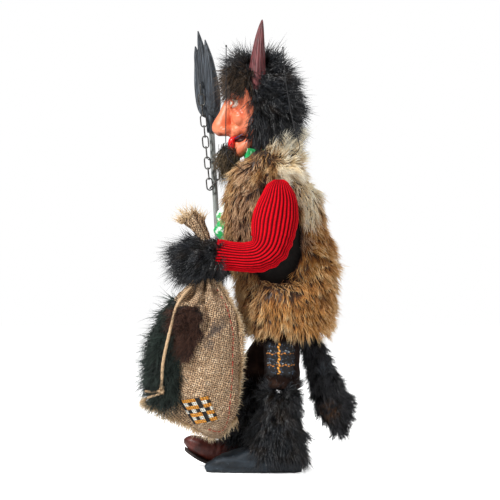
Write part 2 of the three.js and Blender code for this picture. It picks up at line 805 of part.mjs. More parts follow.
add("sack_cloth_patch", patch(clothOutline, patchThickness), checkCloth);

// Rope that is sewn to the gathered top and lies down the front of the sack, ending in a knot
const ropeRoute = [
  [sackX + 10, -80, 214],
  [sackX + 15, -89, 204],
  [sackX + 14, -97, 190],
  [sackX + 16.5, -101, 174],
  [sackX + 20, -106, 154],
  [sackX + 22, -111, 130],
  [sackX + 22.5, -112.5, 112],
  [sackX + 21.5, -113.5, 97],
  [sackX + 18, -122, 93],
  [sackX + 15, -132, 90],
];
const ropeKnot = ball([sackX + 21.5, -113.5, 98], ropeRadius * 2, [1, 1, 1], 8);
add("sack_rope", tube(ropeRoute, ropeRadius, 26).add(ropeKnot), rope);

// Trident: a pole and a head of three carved leaf-shaped tines on a socket
add("trident_pole", poleBar(poleBottomZ, poleTopZ, poleRadius), greyWood);
const tineRows = [
  [0, 0, 0, 3, 3],
  [0, 3, 16, tineWidth * 0.38, tineThickness * 0.3],
  [0, 4, 36, tineWidth * 0.5, tineThickness * 0.5],
  [0, 2, 58, tineWidth * 0.42, tineThickness * 0.4],
  [0, -2, 80, tineWidth * 0.22, tineThickness * 0.2],
  [0, -5, tineLength, 0.4, 0.4],
];
const tineBase = poleTopZ + 8;
const tineAt = (across, back, lower) => {
  const rows = tineRows.map(([x, y, z, a, b]) => {
    const share = Math.min(z / 26, 1);
    const spread = across * Math.sin((share * Math.PI) / 2);
    const height = tineBase + z - lower * share;
    return [rightFistX + x + spread, poleY(height) + y + back * share, height, a, b];
  });
  return loft(refine(rows, 2), 8, 1.5);
};
const socketZ = poleTopZ - 14;
const socket = loft(
  [
    [rightFistX, poleY(socketZ), socketZ, poleRadius + 2.4, poleRadius + 2.4],
    [rightFistX, poleY(poleTopZ), poleTopZ + 4, poleRadius + 3, poleRadius + 3],
    [rightFistX, poleY(poleTopZ + 14), poleTopZ + 14, poleRadius + 1.4, poleRadius + 1.8],
  ],
  12,
).subtract(poleBar(socketZ - 10, poleTopZ + gap, poleRadius + gap));
const crossBar = stack(
  [
    [rightFistX, poleY(poleTopZ) - 0.5, tineBase + 1, tineSpread * 0.4, 3],
    [rightFistX, poleY(poleTopZ) - 0.5, tineBase + 8, tineSpread * 0.8, 3.6],
    [rightFistX, poleY(poleTopZ) - 0.5, tineBase + 17, tineSpread + 2, 3.2],
  ],
  12,
);
const tineBack = 5;

// A closed ring of round wire, in the plane square to an axis.
function ringOf(centre, radius, wire, turnY, sides = 10) {
  const geometry = new THREE.TorusGeometry(radius, wire, 6, sides);
  geometry.deleteAttribute("normal");
  geometry.deleteAttribute("uv");
  geometry.rotateY(turnY);
  geometry.translate(...centre);
  return solidOf(mergeVertices(geometry, 1e-4));
}
const stapleRadius = 3;
const stapleWire = 0.8;
const stapleY = poleY(chainTopZ) + 4 - tineThickness / 2 - 0.7 * stapleRadius;
const tridentHead = socket
  .add(crossBar)
  .add(tineAt(0, 0, 0))
  .add(tineAt(tineSpread, tineBack, 8))
  .add(tineAt(-tineSpread, -tineBack, 8))
  .add(ringOf([rightFistX, stapleY, chainTopZ], stapleRadius, stapleWire, Math.PI / 2));
add("trident_head", tridentHead, slate);

// Chain: stadium links, each turned a quarter from the last, down one strand and back up to the pole.
function link(from, to, quarter) {
  const half = (linkLength - linkWidth) / 2;
  const round = (linkWidth - linkWire) / 2;
  const wire = linkWire / 2;
  const count = 5;
  const sides = 5;
  const points = [];
  const faces = [];
  for (const end of [1, -1])
    for (let i = 0; i < count; i++) {
      const angle = (Math.PI * i) / (count - 1);
      const u = end * Math.cos(angle);
      const w = end * Math.sin(angle);
      for (let j = 0; j < sides; j++) {
        const turn = (2 * Math.PI * j) / sides;
        const reach = round + wire * Math.cos(turn);
        points.push(u * reach, -wire * Math.sin(turn), w * reach + end * half);
      }
    }
  const rings = 2 * count;
  for (let i = 0; i < rings; i++)
    for (let j = 0; j < sides; j++) {
      const next = (i + 1) % rings;
      const side = (j + 1) % sides;
      faces.push(i * sides + j, next * sides + side, i * sides + side);
      faces.push(i * sides + j, next * sides + j, next * sides + side);
    }
  const geometry = new THREE.BufferGeometry();
  geometry.setAttribute("position", new THREE.Float32BufferAttribute(points, 3));
  geometry.setIndex(faces);
  const a = new THREE.Vector3(...from);
  const b = new THREE.Vector3(...to);
  const up = a.clone().sub(b).normalize();
  if (up.z < 0) up.negate();
  geometry.rotateZ(quarter);
  geometry.applyQuaternion(new THREE.Quaternion().setFromUnitVectors(new THREE.Vector3(0, 0, 1), up));
  geometry.translate(...a.add(b).multiplyScalar(0.5).toArray());
  return solidOf(geometry);
}
const linkPitch = linkLength - 2 * linkWire - gap;
const chainTop = [rightFistX, stapleY, chainTopZ - stapleRadius + stapleWire + gap / 2];
const chainX = rightFistX + poleRadius + linkWidth / 2 + 1.1;
const chainBack = 7;
const sideLinks = 4;
const across = (chainX - chainTop[0]) / sideLinks;
const back = chainBack / (downLinks - sideLinks);
const chainNodes = [chainTop];
for (let i = 0; i < downLinks; i++) {
  const [x, y, z] = chainNodes.at(-1);
  const dx = i < sideLinks ? across : 0;
  const dy = i < sideLinks ? 0 : back;
  chainNodes.push([x + dx, y + dy, z - Math.sqrt(linkPitch ** 2 - dx ** 2 - dy ** 2)]);
}

// Past the fold the strand starts inside the lowest link and leans away before it climbs to the pole.
const foldLift = linkWire + gap;
const leans = [38, -5, -5].map(THREE.MathUtils.degToRad);
const upNodes = [chainNodes.at(-1).map((value, k) => value + [0, gap, foldLift][k])];
for (const lean of leans) {
  const [x, y, z] = upNodes.at(-1);
  upNodes.push([x, y + linkPitch * Math.sin(lean), z + linkPitch * Math.cos(lean)]);
}
const chainSpans = [chainNodes, upNodes].flatMap((nodes) =>
  nodes.slice(1).map((node, i) => [nodes[i], node]),
);
chainSpans.forEach(([from, to], i) => {
  const name = "chain_link_" + String(i + 1).padStart(2, "0");
  add(name, link(from, to, i % 2 ? Math.PI / 2 : 0), steel);
});

// The ring round the pole that the last link hangs on
const ringWire = 0.9;
const ringZ = upNodes.at(-1)[2] - gap / 2 - ringWire;
const ringShift = 1;
const ringReach = (chainX - rightFistX + poleRadius + 2 * gap + ringWire) / 2;
add(
  "chain_ring",
  ringOf([chainX - ringReach, poleY(ringZ) + ringShift, 0], ringReach, ringWire, 0, 16).translate(0, 0, ringZ),
  steel,
);

// Strings: the visible stretches of the black threads, each ending in a small knot
const frontString = tube(
  [
    [31, -20, 346],
    [40, -24, 362],
    [stringX, -30, 384],
    [stringX, -34, 430],
    [stringX, -37, stringTopZ],
  ],
  stringRadius,
  8,
);
const backString = tube(
  [
    [29, 33, 362],
    [37, 40, 372],
    [stringX, 42, 385],
    [stringX, 34, 420],
    [stringX, 24, stringTopZ],
  ],
  stringRadius,
  8,
);
const knot = (y) => ball([stringX, y, stringTopZ + 1], 1.1, [1, 1, 1], 8);
add("string_front", frontString.add(knot(-37)), thread);
add("string_back", backString.add(knot(24)), thread);

// Legs
function leg(word, side, hipY, kneeY, ankleY, foot, footShape) {
  const x = side * legX;
  const thighRows = [
    [x, kneeY, kneeZ, thighRadius - 2, thighRadius - 2],
    [x, (hipY + kneeY) / 2, (hipZ + kneeZ) / 2, thighRadius, thighRadius],
    [x, hipY, hipZ + 6, thighRadius, thighRadius],
  ];
  const kneeRoom = bar([x - 30, kneeY, kneeZ], [x + 30, kneeY, kneeZ], 11 + seam, 12);
  const shinRows = [
    [x, ankleY, ankleZ - 10, shinRadius, shinRadius],
    [x, (ankleY + kneeY) / 2, (ankleZ + kneeZ) / 2, shinRadius, shinRadius],
    [x, kneeY, kneeZ, 3.4, shinRadius],
  ];
  const tongueWidthX = 3.4;
  const kneePin = bar([x - 8, kneeY, kneeZ], [x + 8, kneeY, kneeZ], elbowPinRadius);
  const kneeHole = bar([x - 20, kneeY, kneeZ], [x + 20, kneeY, kneeZ], elbowPinRadius + gap);
  const slot = swept(
    block([x - 4, kneeY - 11.5, kneeZ - 30], [x + 4, kneeY + 11.5, kneeZ + 10.5]),
    kneeY,
    kneeZ,
    -kneeSwing,
    0,
    13,
  );
  const hipHole = bar([0, hipY, hipZ], [side * (legX + 20), hipY, hipZ], hipRodRadius + gap);
  const thigh = loft(thighRows, 10)
    .add(bar([x - 9, kneeY, kneeZ], [x + 9, kneeY, kneeZ], 9.5, 10))
    .subtract(slot)
    .add(kneePin)
    .subtract(hipHole);
  add("thigh_" + word, thigh, wood);
  const trouserRows = [
    [x, kneeY + 1, trouserHemZ, trouserHalfWidth - 2, trouserRadius - 2],
    [x, kneeY, kneeZ + 12, trouserHalfWidth - 0.6, trouserRadius],
    [x, (kneeY + hipY) / 2 + 1, (kneeZ + hipZ) / 2, trouserHalfWidth - 1, trouserRadius],
    [x, hipY + 2, hipZ - 14, trouserHalfWidth - 2.6, trouserRadius - 1],
    [x, hipY + 1, hipZ + 10, trouserHalfWidth - 5, trouserRadius - 5],
  ];
  const ripple = (angle, t) => 1 + 0.03 * Math.sin(6 * angle + 5 * t) * (1 - t);
  const shinTop = loft(
    [
      [x, kneeY, kneeZ - 30, 16, 16],
      [x, kneeY, kneeZ + 11, 14, 14],
    ],
    10,
  );
  const trouser = stack(trouserRows, 14, 2.2, ripple)
    .subtract(loft(grow(thighRows, gap, gap), 10))
    .subtract(swept(shinTop, kneeY, kneeZ, -kneeSwing, 0, 30))
    .subtract(bar([x - 9 - gap, kneeY, kneeZ], [x + 9 + gap, kneeY, kneeZ], 9.5 + gap, 10))
    .subtract(hipHole);
  add("trouser_leg_" + word, trouser, trouserCloth);
  const footSolid = footShape(x);
  const shinUpper = loft(shinRows, 10)
    .add(bar([x - tongueWidthX, kneeY, kneeZ], [x + tongueWidthX, kneeY, kneeZ], shinRadius, 10))
    .subtract(kneeHole)
    .subtract(
      kneeRoom
        .subtract(block([x - tongueWidthX, kneeY - 40, kneeZ - 40], [x + tongueWidthX, kneeY + 40, kneeZ + 40])),
    );
  const ankleHole = loft(grow(shinRows, gap, gap), 10);
  add("shin_" + word, shinUpper, wood);
  add(foot, footSolid.subtract(ankleHole), side > 0 ? hoofPaint : bootLeather);
  return { x, shinRows, footSolid };
}
const hoofShape = (x) =>
  loft(
    [
      [x, hoofToeY, 4, 5, 4.5],
      [x, hoofToeY + 9, 7, 10, 7.5],
      [x, hoofToeY + 20, 10, 15, 10.5],
      [x, hoofToeY + 40, 14, hoofHalfWidth - 1, 14.5],
      [x, hoofToeY + 64, hoofHeight / 2 + 0.5, hoofHalfWidth, hoofHeight / 2 + 1],
      [x, hoofToeY + 92, hoofHeight / 2 + 0.5, hoofHalfWidth - 1, hoofHeight / 2 + 1],
      [x, hoofToeY + hoofLength, hoofHeight / 2, hoofHalfWidth - 7, hoofHeight / 2 + 0.5],
    ],
    18,
    2.6,
  ).subtract(block([x - 60, hoofToeY - 30, -40], [x + 60, hoofToeY + 2 * hoofLength, 0]));
const bootUpper = (x) =>
  loft(
    [
      [x, bootToeY, 8 + toeLift, 7, 4],
      [x, bootToeY + 6, 8 + toeLift, 12, 8],
      [x, bootToeY + 14, 10 + toeLift * 0.75, bootHalfWidth - 2, 11],
      [x, bootToeY + 26, 13 + toeLift * 0.35, bootHalfWidth - 1, 12],
      [x, bootToeY + 42, 16, bootHalfWidth, 14],
      [x, bootToeY + 64, 18, bootHalfWidth - 2, 16],
      [x, bootToeY + 86, 18, bootHalfWidth - 2, 16],
      [x, bootToeY + bootLength, 16, bootHalfWidth - 7, 12],
    ],
    18,
    2.4,
  );
const soleProfile = new THREE.Shape();
soleProfile.moveTo(bootToeY + 2, toeLift * 0.95);
soleProfile.quadraticCurveTo(bootToeY + 18, 4, bootToeY + 38, 0);
soleProfile.lineTo(bootToeY + bootLength - 1, 0);
soleProfile.lineTo(bootToeY + bootLength - 1, bootSole);
soleProfile.lineTo(bootToeY + 40, bootSole);
soleProfile.quadraticCurveTo(bootToeY + 20, bootSole + 4, bootToeY + 2, toeLift * 0.95 + bootSole);
soleProfile.closePath();
const bandGeometry = new THREE.ExtrudeGeometry(soleProfile, {
  depth: 90,
  bevelEnabled: false,
  curveSegments: 6,
});
bandGeometry.deleteAttribute("normal");
bandGeometry.deleteAttribute("uv");
bandGeometry.translate(0, 0, -45 - legX);
bandGeometry.applyMatrix4(new THREE.Matrix4().set(0, 0, 1, 0, 1, 0, 0, 0, 0, 1, 0, 0, 0, 0, 0, 1));
const soleBand = solidOf(mergeVertices(bandGeometry, 1e-4));
const soleOutline = loft(
  [
    [-legX, bootToeY + 1, 15, 9, 40],
    [-legX, bootToeY + 14, 15, bootHalfWidth - 1, 40],
    [-legX, bootToeY + 42, 15, bootHalfWidth + 1, 40],
    [-legX, bootToeY + 70, 15, bootHalfWidth - 1, 40],
    [-legX, bootToeY + bootLength, 15, bootHalfWidth - 3, 40],
  ],
  12,
  8,
);
const sole = soleBand.intersect(soleOutline);
const underSole = soleBand.translate(0, 0, gap).add(soleBand.translate(0, 0, -6)).add(soleBand.translate(0, 0, -3));
const bootShape = (x) =>
  bootUpper(x).subtract(underSole).subtract(block([x - 60, -200, -60], [x + 60, 200, bootSole + gap]));
const left = leg("left", 1, leftHipY, leftKneeY, 14, "hoof", hoofShape);
const right = leg("right", -1, rightHipY, rightKneeY, -22, "boot", bootShape);
add("boot_sole", sole, soleLeather);

// Fur round each shin, flaring over the foot
function shinFur(word, made, kneeY, ankleY, bottomZ, footTop, bottomRadius) {
  const rows = [
    [made.x, ankleY + 3, bottomZ, shinFurHalfWidth, bottomRadius],
    [made.x, ankleY + 3, bottomZ + 22, shinFurHalfWidth, bottomRadius * 0.86],
    [made.x, (ankleY + kneeY) / 2 + 2, 76, shinFurHalfWidth - 2, 19],
    [made.x, kneeY + 1, trouserHemZ - 9, shinFurTopRadius, shinFurTopRadius + 1],
  ];
  const fur = stack(rows, 16)
    .subtract(loft(grow(made.shinRows, gap, 40), 10))
    .subtract(footTop);
  add("shin_fur_" + word, fur, blackFur);
}
const lifted = (solid, by) => solid.add(solid.translate(0, 0, by)).add(solid.translate(0, 0, -8));
shinFur("left", left, leftKneeY, 14, 18, lifted(left.footSolid, gap), shinFurBottomRadius);
shinFur("right", right, rightKneeY, -22, 32, lifted(right.footSolid, gap), shinFurBottomRadius - 8);

// Tail
const tailTip = tailRootZ - tailLength;
const tailRows = [
  [tailX, tailRootY + 41, tailTip, 3, 5],
  [tailX, tailRootY + 40, tailTip + 10, tailHalfWidth - 3, 13],
  [tailX, tailRootY + 34, tailTip + 36, tailHalfWidth, 19],
  [tailX, tailRootY + 22, tailTip + 64, tailHalfWidth, 18],
  [tailX, tailRootY + 14, tailTip + 96, tailHalfWidth, 15],
  [tailX, tailRootY + 8, tailRootZ - 9, tailHalfWidth - 1, 8],
  [tailX, tailRootY, tailRootZ + 4, tailHalfWidth - 4, 5],
];
add("tail", loft(tailRows, 16), blackFur);

// The frame's origin is at the middle of the foot of the whole figure, its cords left out.
const cords = ["string_front", "string_back", "sack_rope"];
const whole = new THREE.Box3();
for (const [name, { solid }] of solids) {
  if (cords.includes(name)) continue;
  whole.union(new THREE.Box3().setFromBufferAttribute(geometryOf(solid).getAttribute("position")));
}
const middle = whole.getCenter(new THREE.Vector3());
for (const [name, { solid, material }] of solids) {
  const placed = solid.translate(-middle.x, -middle.y, -whole.min.z);
  const mesh = new THREE.Mesh(geometryOf(placed), material);
  mesh.name = name;
  figure.add(mesh);
}

export default figure;
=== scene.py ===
import math
import bpy
import numpy as np
from mathutils import Matrix, Vector, kdtree, noise


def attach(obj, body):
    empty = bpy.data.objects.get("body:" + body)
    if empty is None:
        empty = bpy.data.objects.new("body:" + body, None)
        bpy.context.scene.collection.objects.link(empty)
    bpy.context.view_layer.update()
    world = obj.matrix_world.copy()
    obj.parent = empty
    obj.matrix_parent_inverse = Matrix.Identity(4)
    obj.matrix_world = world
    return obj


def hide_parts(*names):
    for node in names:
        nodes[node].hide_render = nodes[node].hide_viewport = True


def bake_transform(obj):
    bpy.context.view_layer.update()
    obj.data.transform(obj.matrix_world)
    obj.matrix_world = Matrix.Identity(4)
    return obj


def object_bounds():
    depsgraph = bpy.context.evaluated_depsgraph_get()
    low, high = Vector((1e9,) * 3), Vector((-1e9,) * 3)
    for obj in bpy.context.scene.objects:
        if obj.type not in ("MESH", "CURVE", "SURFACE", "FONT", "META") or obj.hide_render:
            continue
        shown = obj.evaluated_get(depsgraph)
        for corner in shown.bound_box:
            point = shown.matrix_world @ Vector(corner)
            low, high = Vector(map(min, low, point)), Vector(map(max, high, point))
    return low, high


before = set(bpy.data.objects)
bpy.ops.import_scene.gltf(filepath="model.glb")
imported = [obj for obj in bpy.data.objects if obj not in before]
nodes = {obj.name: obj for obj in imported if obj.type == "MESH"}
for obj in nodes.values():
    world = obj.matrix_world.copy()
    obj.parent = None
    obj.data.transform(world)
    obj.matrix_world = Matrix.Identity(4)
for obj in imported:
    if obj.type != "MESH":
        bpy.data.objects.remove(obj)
cad_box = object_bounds()

# The drawing below is in millimetres in the figure's own drawing frame. SHIFT takes it to the CAD frame.
SHIFT = np.array([17.114361, 17.404182, 0.0])
# Millimetres to a photo pixel, half the photo's side in pixels, and the camera's distance and middle
PIXEL, HALF = 1.15, 250
REACH, NEAR_X, MID_Y, MID_Z = 2100.0, 30.0, (250 - 262) * PIXEL, (472 - 250) * PIXEL
FULL = 2 * math.pi
SIDES = ((1, "left"), (-1, "right"))


def place(points):
    """Drawn millimetres as metres in the CAD frame."""
    return (np.asarray(points, float) + SHIFT) / 1000


def seen_at(points):
    """The photo pixel (u, v) that each drawn point is seen at, or its mirror image for the far side."""
    k = (REACH + NEAR_X - np.abs(points[:, 0])) / REACH * PIXEL
    return (points[:, 1] - MID_Y) / k + HALF, HALF - (points[:, 2] - MID_Z) / k


def at(u, v, x=0.0):
    """The point seen at photo pixel (u, v), at depth x."""
    k = (REACH + NEAR_X - x) / REACH * PIXEL
    return np.array([x, MID_Y + (u - HALF) * k, MID_Z + (HALF - v) * k])


# How far hair and loose threads may reach past the solids
ROOM_LOW = np.array(cad_box[0]) * 1000 - SHIFT - [13, 14, 0]
ROOM_HIGH = np.array(cad_box[1]) * 1000 - SHIFT + [13, 14, 12]


def make_camera():
    sensor = 36
    camera = bpy.data.objects.new("camera", bpy.data.cameras.new("camera"))
    bpy.context.scene.collection.objects.link(camera)
    camera.location = place([NEAR_X + REACH, MID_Y, MID_Z])
    camera.rotation_euler = (math.radians(90), 0, math.radians(90))
    camera.data.sensor_width = sensor
    camera.data.lens = sensor * REACH / (2 * HALF * PIXEL)
    camera.data.clip_end = 50
    bpy.context.scene.camera = camera


make_camera()


# Meshes
def unit(vectors):
    return vectors / np.linalg.norm(vectors, axis=-1, keepdims=True)


def mesh_object(name, verts, faces, smooth=True, marks=None, uv=None):
    """An object from millimetre points and a list of (n, 3) or (n, 4) arrays of faces."""
    groups = [np.asarray(f, np.int32) for f in faces if len(f)]
    mesh = bpy.data.meshes.new(name)
    co = place(verts).astype(np.float32)
    loops = np.concatenate([g.ravel() for g in groups])
    sizes = np.concatenate([np.full(len(g), g.shape[1], np.int32) for g in groups])
    starts = np.concatenate([[0], np.cumsum(sizes)[:-1]]).astype(np.int32)
    mesh.vertices.add(len(co))
    mesh.vertices.foreach_set("co", co.ravel())
    mesh.loops.add(len(loops))
    mesh.loops.foreach_set("vertex_index", loops)
    mesh.polygons.add(len(sizes))
    mesh.polygons.foreach_set("loop_start", starts)
    mesh.polygons.foreach_set("loop_total", sizes)
    mesh.polygons.foreach_set("use_smooth", np.full(len(sizes), smooth))
    mesh.update(calc_edges=True)
    for key, values in (marks or {}).items():
        mesh.attributes.new(key, "FLOAT", "POINT").data.foreach_set("value", np.asarray(values, np.float32))
    if uv is not None:
        layer = mesh.uv_layers.new(name="flat")
        layer.data.foreach_set("uv", np.asarray(uv, np.float32)[loops].ravel())
    obj = bpy.data.objects.new(name, mesh)
    bpy.context.scene.collection.objects.link(obj)
    return obj


def refine(rows, per_span):
    """Rows of numbers with smooth rows between them."""
    rows = np.asarray(rows, float)
    out = []
    for i in range(len(rows) - 1):
        b, n = rows[i], rows[i + 1]
        a, c = rows[max(i - 1, 0)], rows[min(i + 2, len(rows) - 1)]
        cubic = -0.5 * a + 1.5 * b - 1.5 * n + 0.5 * c
        for s in range(per_span):
            t = s / per_span
            out.append((cubic * t + a - 2.5 * b + 2 * n - 0.5 * c) * t * t + 0.5 * (n - a) * t + b)
    return np.array(out + [rows[-1]])


def around(sides):
    return np.linspace(0, FULL, sides, endpoint=False)


def turn_and_run(grid):
    """The angle round each ring as a row, and the share of the way along the rings as a column."""
    return around(grid.shape[1])[None, :], np.linspace(0, 1, len(grid))[:, None]


def bell(value, width):
    """1 where value is 0, and falling away beyond width."""
    return np.exp(-((value / width) ** 2))


def clip(value):
    return np.clip(value, 0, 1)


def loft(rows, sides=32, fine=4, square=2.0, upright=False):
    """Rings of points and their outward ways. Each row is x, y, z, half width in x and half depth."""
    rows = refine(rows, fine)
    mid = rows[:, :3]
    run = np.gradient(mid[:, 1:], axis=0)
    run /= np.maximum(np.linalg.norm(run, axis=1, keepdims=True), 1e-9)
    if upright:
        run = np.tile([0.0, 1.0], (len(rows), 1))
    turn = around(sides)
    c = np.sign(np.cos(turn)) * np.abs(np.cos(turn)) ** (2 / square)
    s = np.sign(np.sin(turn)) * np.abs(np.sin(turn)) ** (2 / square)
    hx, hd = np.maximum(rows[:, 3:4], 0.05), np.maximum(rows[:, 4:5], 0.05)
    y, z = mid[:, 1:2] + hd * s * run[:, 1:2], mid[:, 2:3] - hd * s * run[:, :1]
    out = np.stack([c / hx, s / hd * run[:, 1:2], -s / hd * run[:, :1]], -1)
    return np.stack([mid[:, :1] + hx * c, y, z], -1), unit(out)


def ring_faces(rings, sides, closed=True):
    """The quads between rings of points."""
    index = np.arange(rings * sides).reshape(rings, sides)
    after = np.roll(index, -1, axis=1) if closed else index[:, 1:]
    now = index if closed else index[:, :-1]
    return np.stack([now[:-1], after[:-1], after[1:], now[1:]], -1).reshape(-1, 4)


def grid_object(name, grid, caps=True, closed=True, smooth=True, marks=None):
    """A skin over a grid of rings, with its arc lengths in millimetres as the flat map."""
    rings, sides = grid.shape[:2]
    verts = grid.reshape(-1, 3)
    faces = [ring_faces(rings, sides, closed)]
    u = np.concatenate([[0], np.cumsum(np.linalg.norm(np.diff(grid, axis=1), axis=2).mean(0))])
    v = np.concatenate([[0], np.cumsum(np.linalg.norm(np.diff(grid, axis=0), axis=2).mean(1))])
    uv = np.stack(np.broadcast_arrays(u[None, :], v[:, None]), -1).reshape(-1, 2)
    if caps:
        verts = np.vstack([verts, grid[0].mean(0), grid[-1].mean(0)])
        low = rings * sides
        first, last = np.arange(sides), np.arange(low - sides, low)
        faces.append(np.stack([np.full(sides, low), np.roll(first, -1), first], -1))
        faces.append(np.stack([np.full(sides, low + 1), last, np.roll(last, -1)], -1))
        uv = np.vstack([uv, [[0, 0], [0, 0]]])
        marks = {key: np.append(values, [values[0], values[-1]]) for key, values in (marks or {}).items()}
    return mesh_object(name, verts, faces, smooth, marks, uv)


def shell(name, grid, out, thick, kept, marks=None):
    """An open skin with an inner face, of the quads whose middles are kept. Marks are pairs: outer, inner."""
    quads = ring_faces(*grid.shape[:2])
    verts = grid.reshape(-1, 3)
    quads = quads[kept(verts[quads].mean(1))]
    inside = (grid - out * thick).reshape(-1, 3)
    marks = {key: np.repeat(pair, len(verts)) for key, pair in (marks or {}).items()}
    return mesh_object(name, np.vstack([verts, inside]), [quads, quads[:, ::-1] + len(verts)], True, marks)


def join(name, parts):
    """One object from several, keeping their materials and attributes."""
    chosen = {"active_object": parts[0], "selected_editable_objects": parts, "selected_objects": parts}
    with bpy.context.temp_override(**chosen):
        bpy.ops.object.join()
    parts[0].name = name
    parts[0].data.name = name
    return parts[0]


def paint_over(obj, paint):
    obj.data.materials.clear()
    obj.data.materials.append(paint.material)


def dress(obj, body, slot, paint, *stands_for):
    """Gives a piece its paint, its body and the CAD nodes that it stands for. Its slot is not used."""
    if paint is not None:
        paint_over(obj, paint)
    if body is not None:
        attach(obj, body)
    if stands_for:
        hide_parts(*stands_for)
    return obj


def wobble(points, size, seed):
    """Smooth seeded noise from -1 to 1 at each point, with features of that size in millimetres."""
    flat = np.asarray(points, float).reshape(-1, 3) / size + seed * 17.31
    value = np.array([noise.fractal(Vector(p), 1.0, 2.0, 3) for p in flat])
    return value.reshape(np.asarray(points).shape[:-1])


def swirl(points, size, *seeds):
    return np.stack([wobble(points, size, seed) for seed in seeds], 1)


def swell(grid, out, amount):
    """The grid pushed out by an amount at each point."""
    return grid + out * amount[..., None]


def points_of(obj):
    co = np.zeros(len(obj.data.vertices) * 3, np.float32)
    obj.data.vertices.foreach_get("co", co)
    return co.reshape(-1, 3)


# Hair and threads
def strands(name, roots, ways, lengths, widths, seed, bend=(0, 0, 0), curl=0.15, wave=0.0, tone=None,
            pull=0.0, marks=None):
    """Tapered three-sided hairs. Bend is what gravity adds to a way over the whole length."""
    rings = 4
    rng = np.random.default_rng(seed)
    n = len(roots)
    ways = unit(ways)
    side = unit(np.cross(ways, rng.normal(size=(n, 3))))
    up = np.cross(ways, side)
    lengths = np.broadcast_to(lengths, n)[:, None]
    widths = np.broadcast_to(widths, n)[:, None]
    drift = rng.normal(size=(n, 3)) * curl
    phase = rng.uniform(0, 6.28, (n, 1))
    bend = np.broadcast_to(np.asarray(bend, float), (n, 3))
    reach = lengths * (ways + bend + drift) + pull
    room = np.where(reach > 0, ROOM_HIGH - roots, ROOM_LOW - roots)
    room = room / np.where(np.abs(reach) < 1e-6, 1e-6, reach)
    share = np.clip(room.min(axis=1, keepdims=True), 0.05, 1.0)
    lengths, pull = lengths * share, pull * share
    verts, along = [], []
    for t in np.arange(rings) / (rings - 1):
        centre = roots + lengths * (ways * t + (bend + drift) * t * t) + pull * t ** 1.5
        if wave:
            centre = centre + lengths * wave * t * (side * np.sin(7 * t + phase) + up * np.cos(6 * t + phase))
        thick = widths / 2 * (1 - t) ** 0.75
        corners = (0.0, 2.1, 4.2) if t < 1 else (0.0,)
        verts += [centre + thick * (math.cos(a) * side + math.sin(a) * up) for a in corners]
        along += [t] * len(corners)
    per = len(verts)
    last = per - 1
    pairs = ((0, 1), (1, 2), (2, 0))
    quads = [[k + i, k + j, k + 3 + j, k + 3 + i] for k in range(0, last - 3, 3) for i, j in pairs]
    tips = [[last - 3 + i, last - 3 + j, last] for i, j in pairs]
    base = (np.arange(n) * per)[:, None, None]
    tone = rng.uniform(0, 1, n) if tone is None else tone
    marks = {key: np.repeat(values, per) for key, values in {"tone": tone, **(marks or {})}.items()}
    marks = {"along": np.tile(along, n), **marks}
    faces = [(base + np.array(quads)).reshape(-1, 4), (base + np.array(tips)).reshape(-1, 3)]
    return mesh_object(name, np.stack(verts, 1).reshape(-1, 3), faces, True, marks)


def skin_points(obj, count, seed, keep):
    """Seeded points on a mesh's faces in millimetres, with their outward ways, where keep says so."""
    mesh = obj.data
    mesh.calc_loop_triangles()
    corners = np.zeros(len(mesh.loop_triangles) * 3, np.int32)
    mesh.loop_triangles.foreach_get("vertices", corners)
    co = points_of(obj) * 1000 - SHIFT
    a, b, c = (co[corners.reshape(-1, 3)[:, k]] for k in range(3))
    normal = np.cross(b - a, c - a)
    area = np.linalg.norm(normal, axis=1)
    rng = np.random.default_rng(seed)
    pick = rng.choice(len(area), count, p=area / area.sum())
    r, s = rng.uniform(size=(2, count, 1))
    r = np.sqrt(r)
    points = a[pick] * (1 - r) + b[pick] * r * (1 - s) + c[pick] * r * s
    ways = normal[pick] / np.maximum(area[pick, None], 1e-9)
    if keep is None:
        return points, ways
    ok = keep(points, ways)
    return points[ok], ways[ok]


def tube(name, points, radius, sides=8, fine=1, laid=False, taper=False):
    """A tube along points in millimetres: round, or laid as a rope of three strands."""
    strand_count, strand_twist, strand_depth = 3, 0.75, 0.16
    path = refine(points, fine) if fine > 1 else np.asarray(points, float)
    run = unit(np.gradient(path, axis=0))
    far = np.concatenate([[0], np.cumsum(np.linalg.norm(np.diff(path, axis=0), axis=1))])
    side = unit(np.cross(run, [1.0, 0.13, 0.07]))
    up = np.cross(run, side)
    turn = around(sides)
    rings = []
    for i in range(len(path)):
        r = np.full(sides, radius)
        if laid:
            r = radius * (1 - strand_depth * (1 + np.cos(strand_count * turn - strand_twist * far[i])) / 2)
        if taper:
            r = r * (1 - 0.8 * (i / (len(path) - 1)) ** 3)
        rings.append(path[i] + np.outer(r * np.cos(turn), side[i]) + np.outer(r * np.sin(turn), up[i]))
    return grid_object(name, np.array(rings))


# Materials
def lin(colour):
    """A linear colour from an sRGB hex number."""
    c = [((colour >> s) & 255) / 255 for s in (16, 8, 0)]
    return [v / 12.92 if v <= 0.04045 else ((v + 0.055) / 1.055) ** 2.4 for v in c] + [1.0]


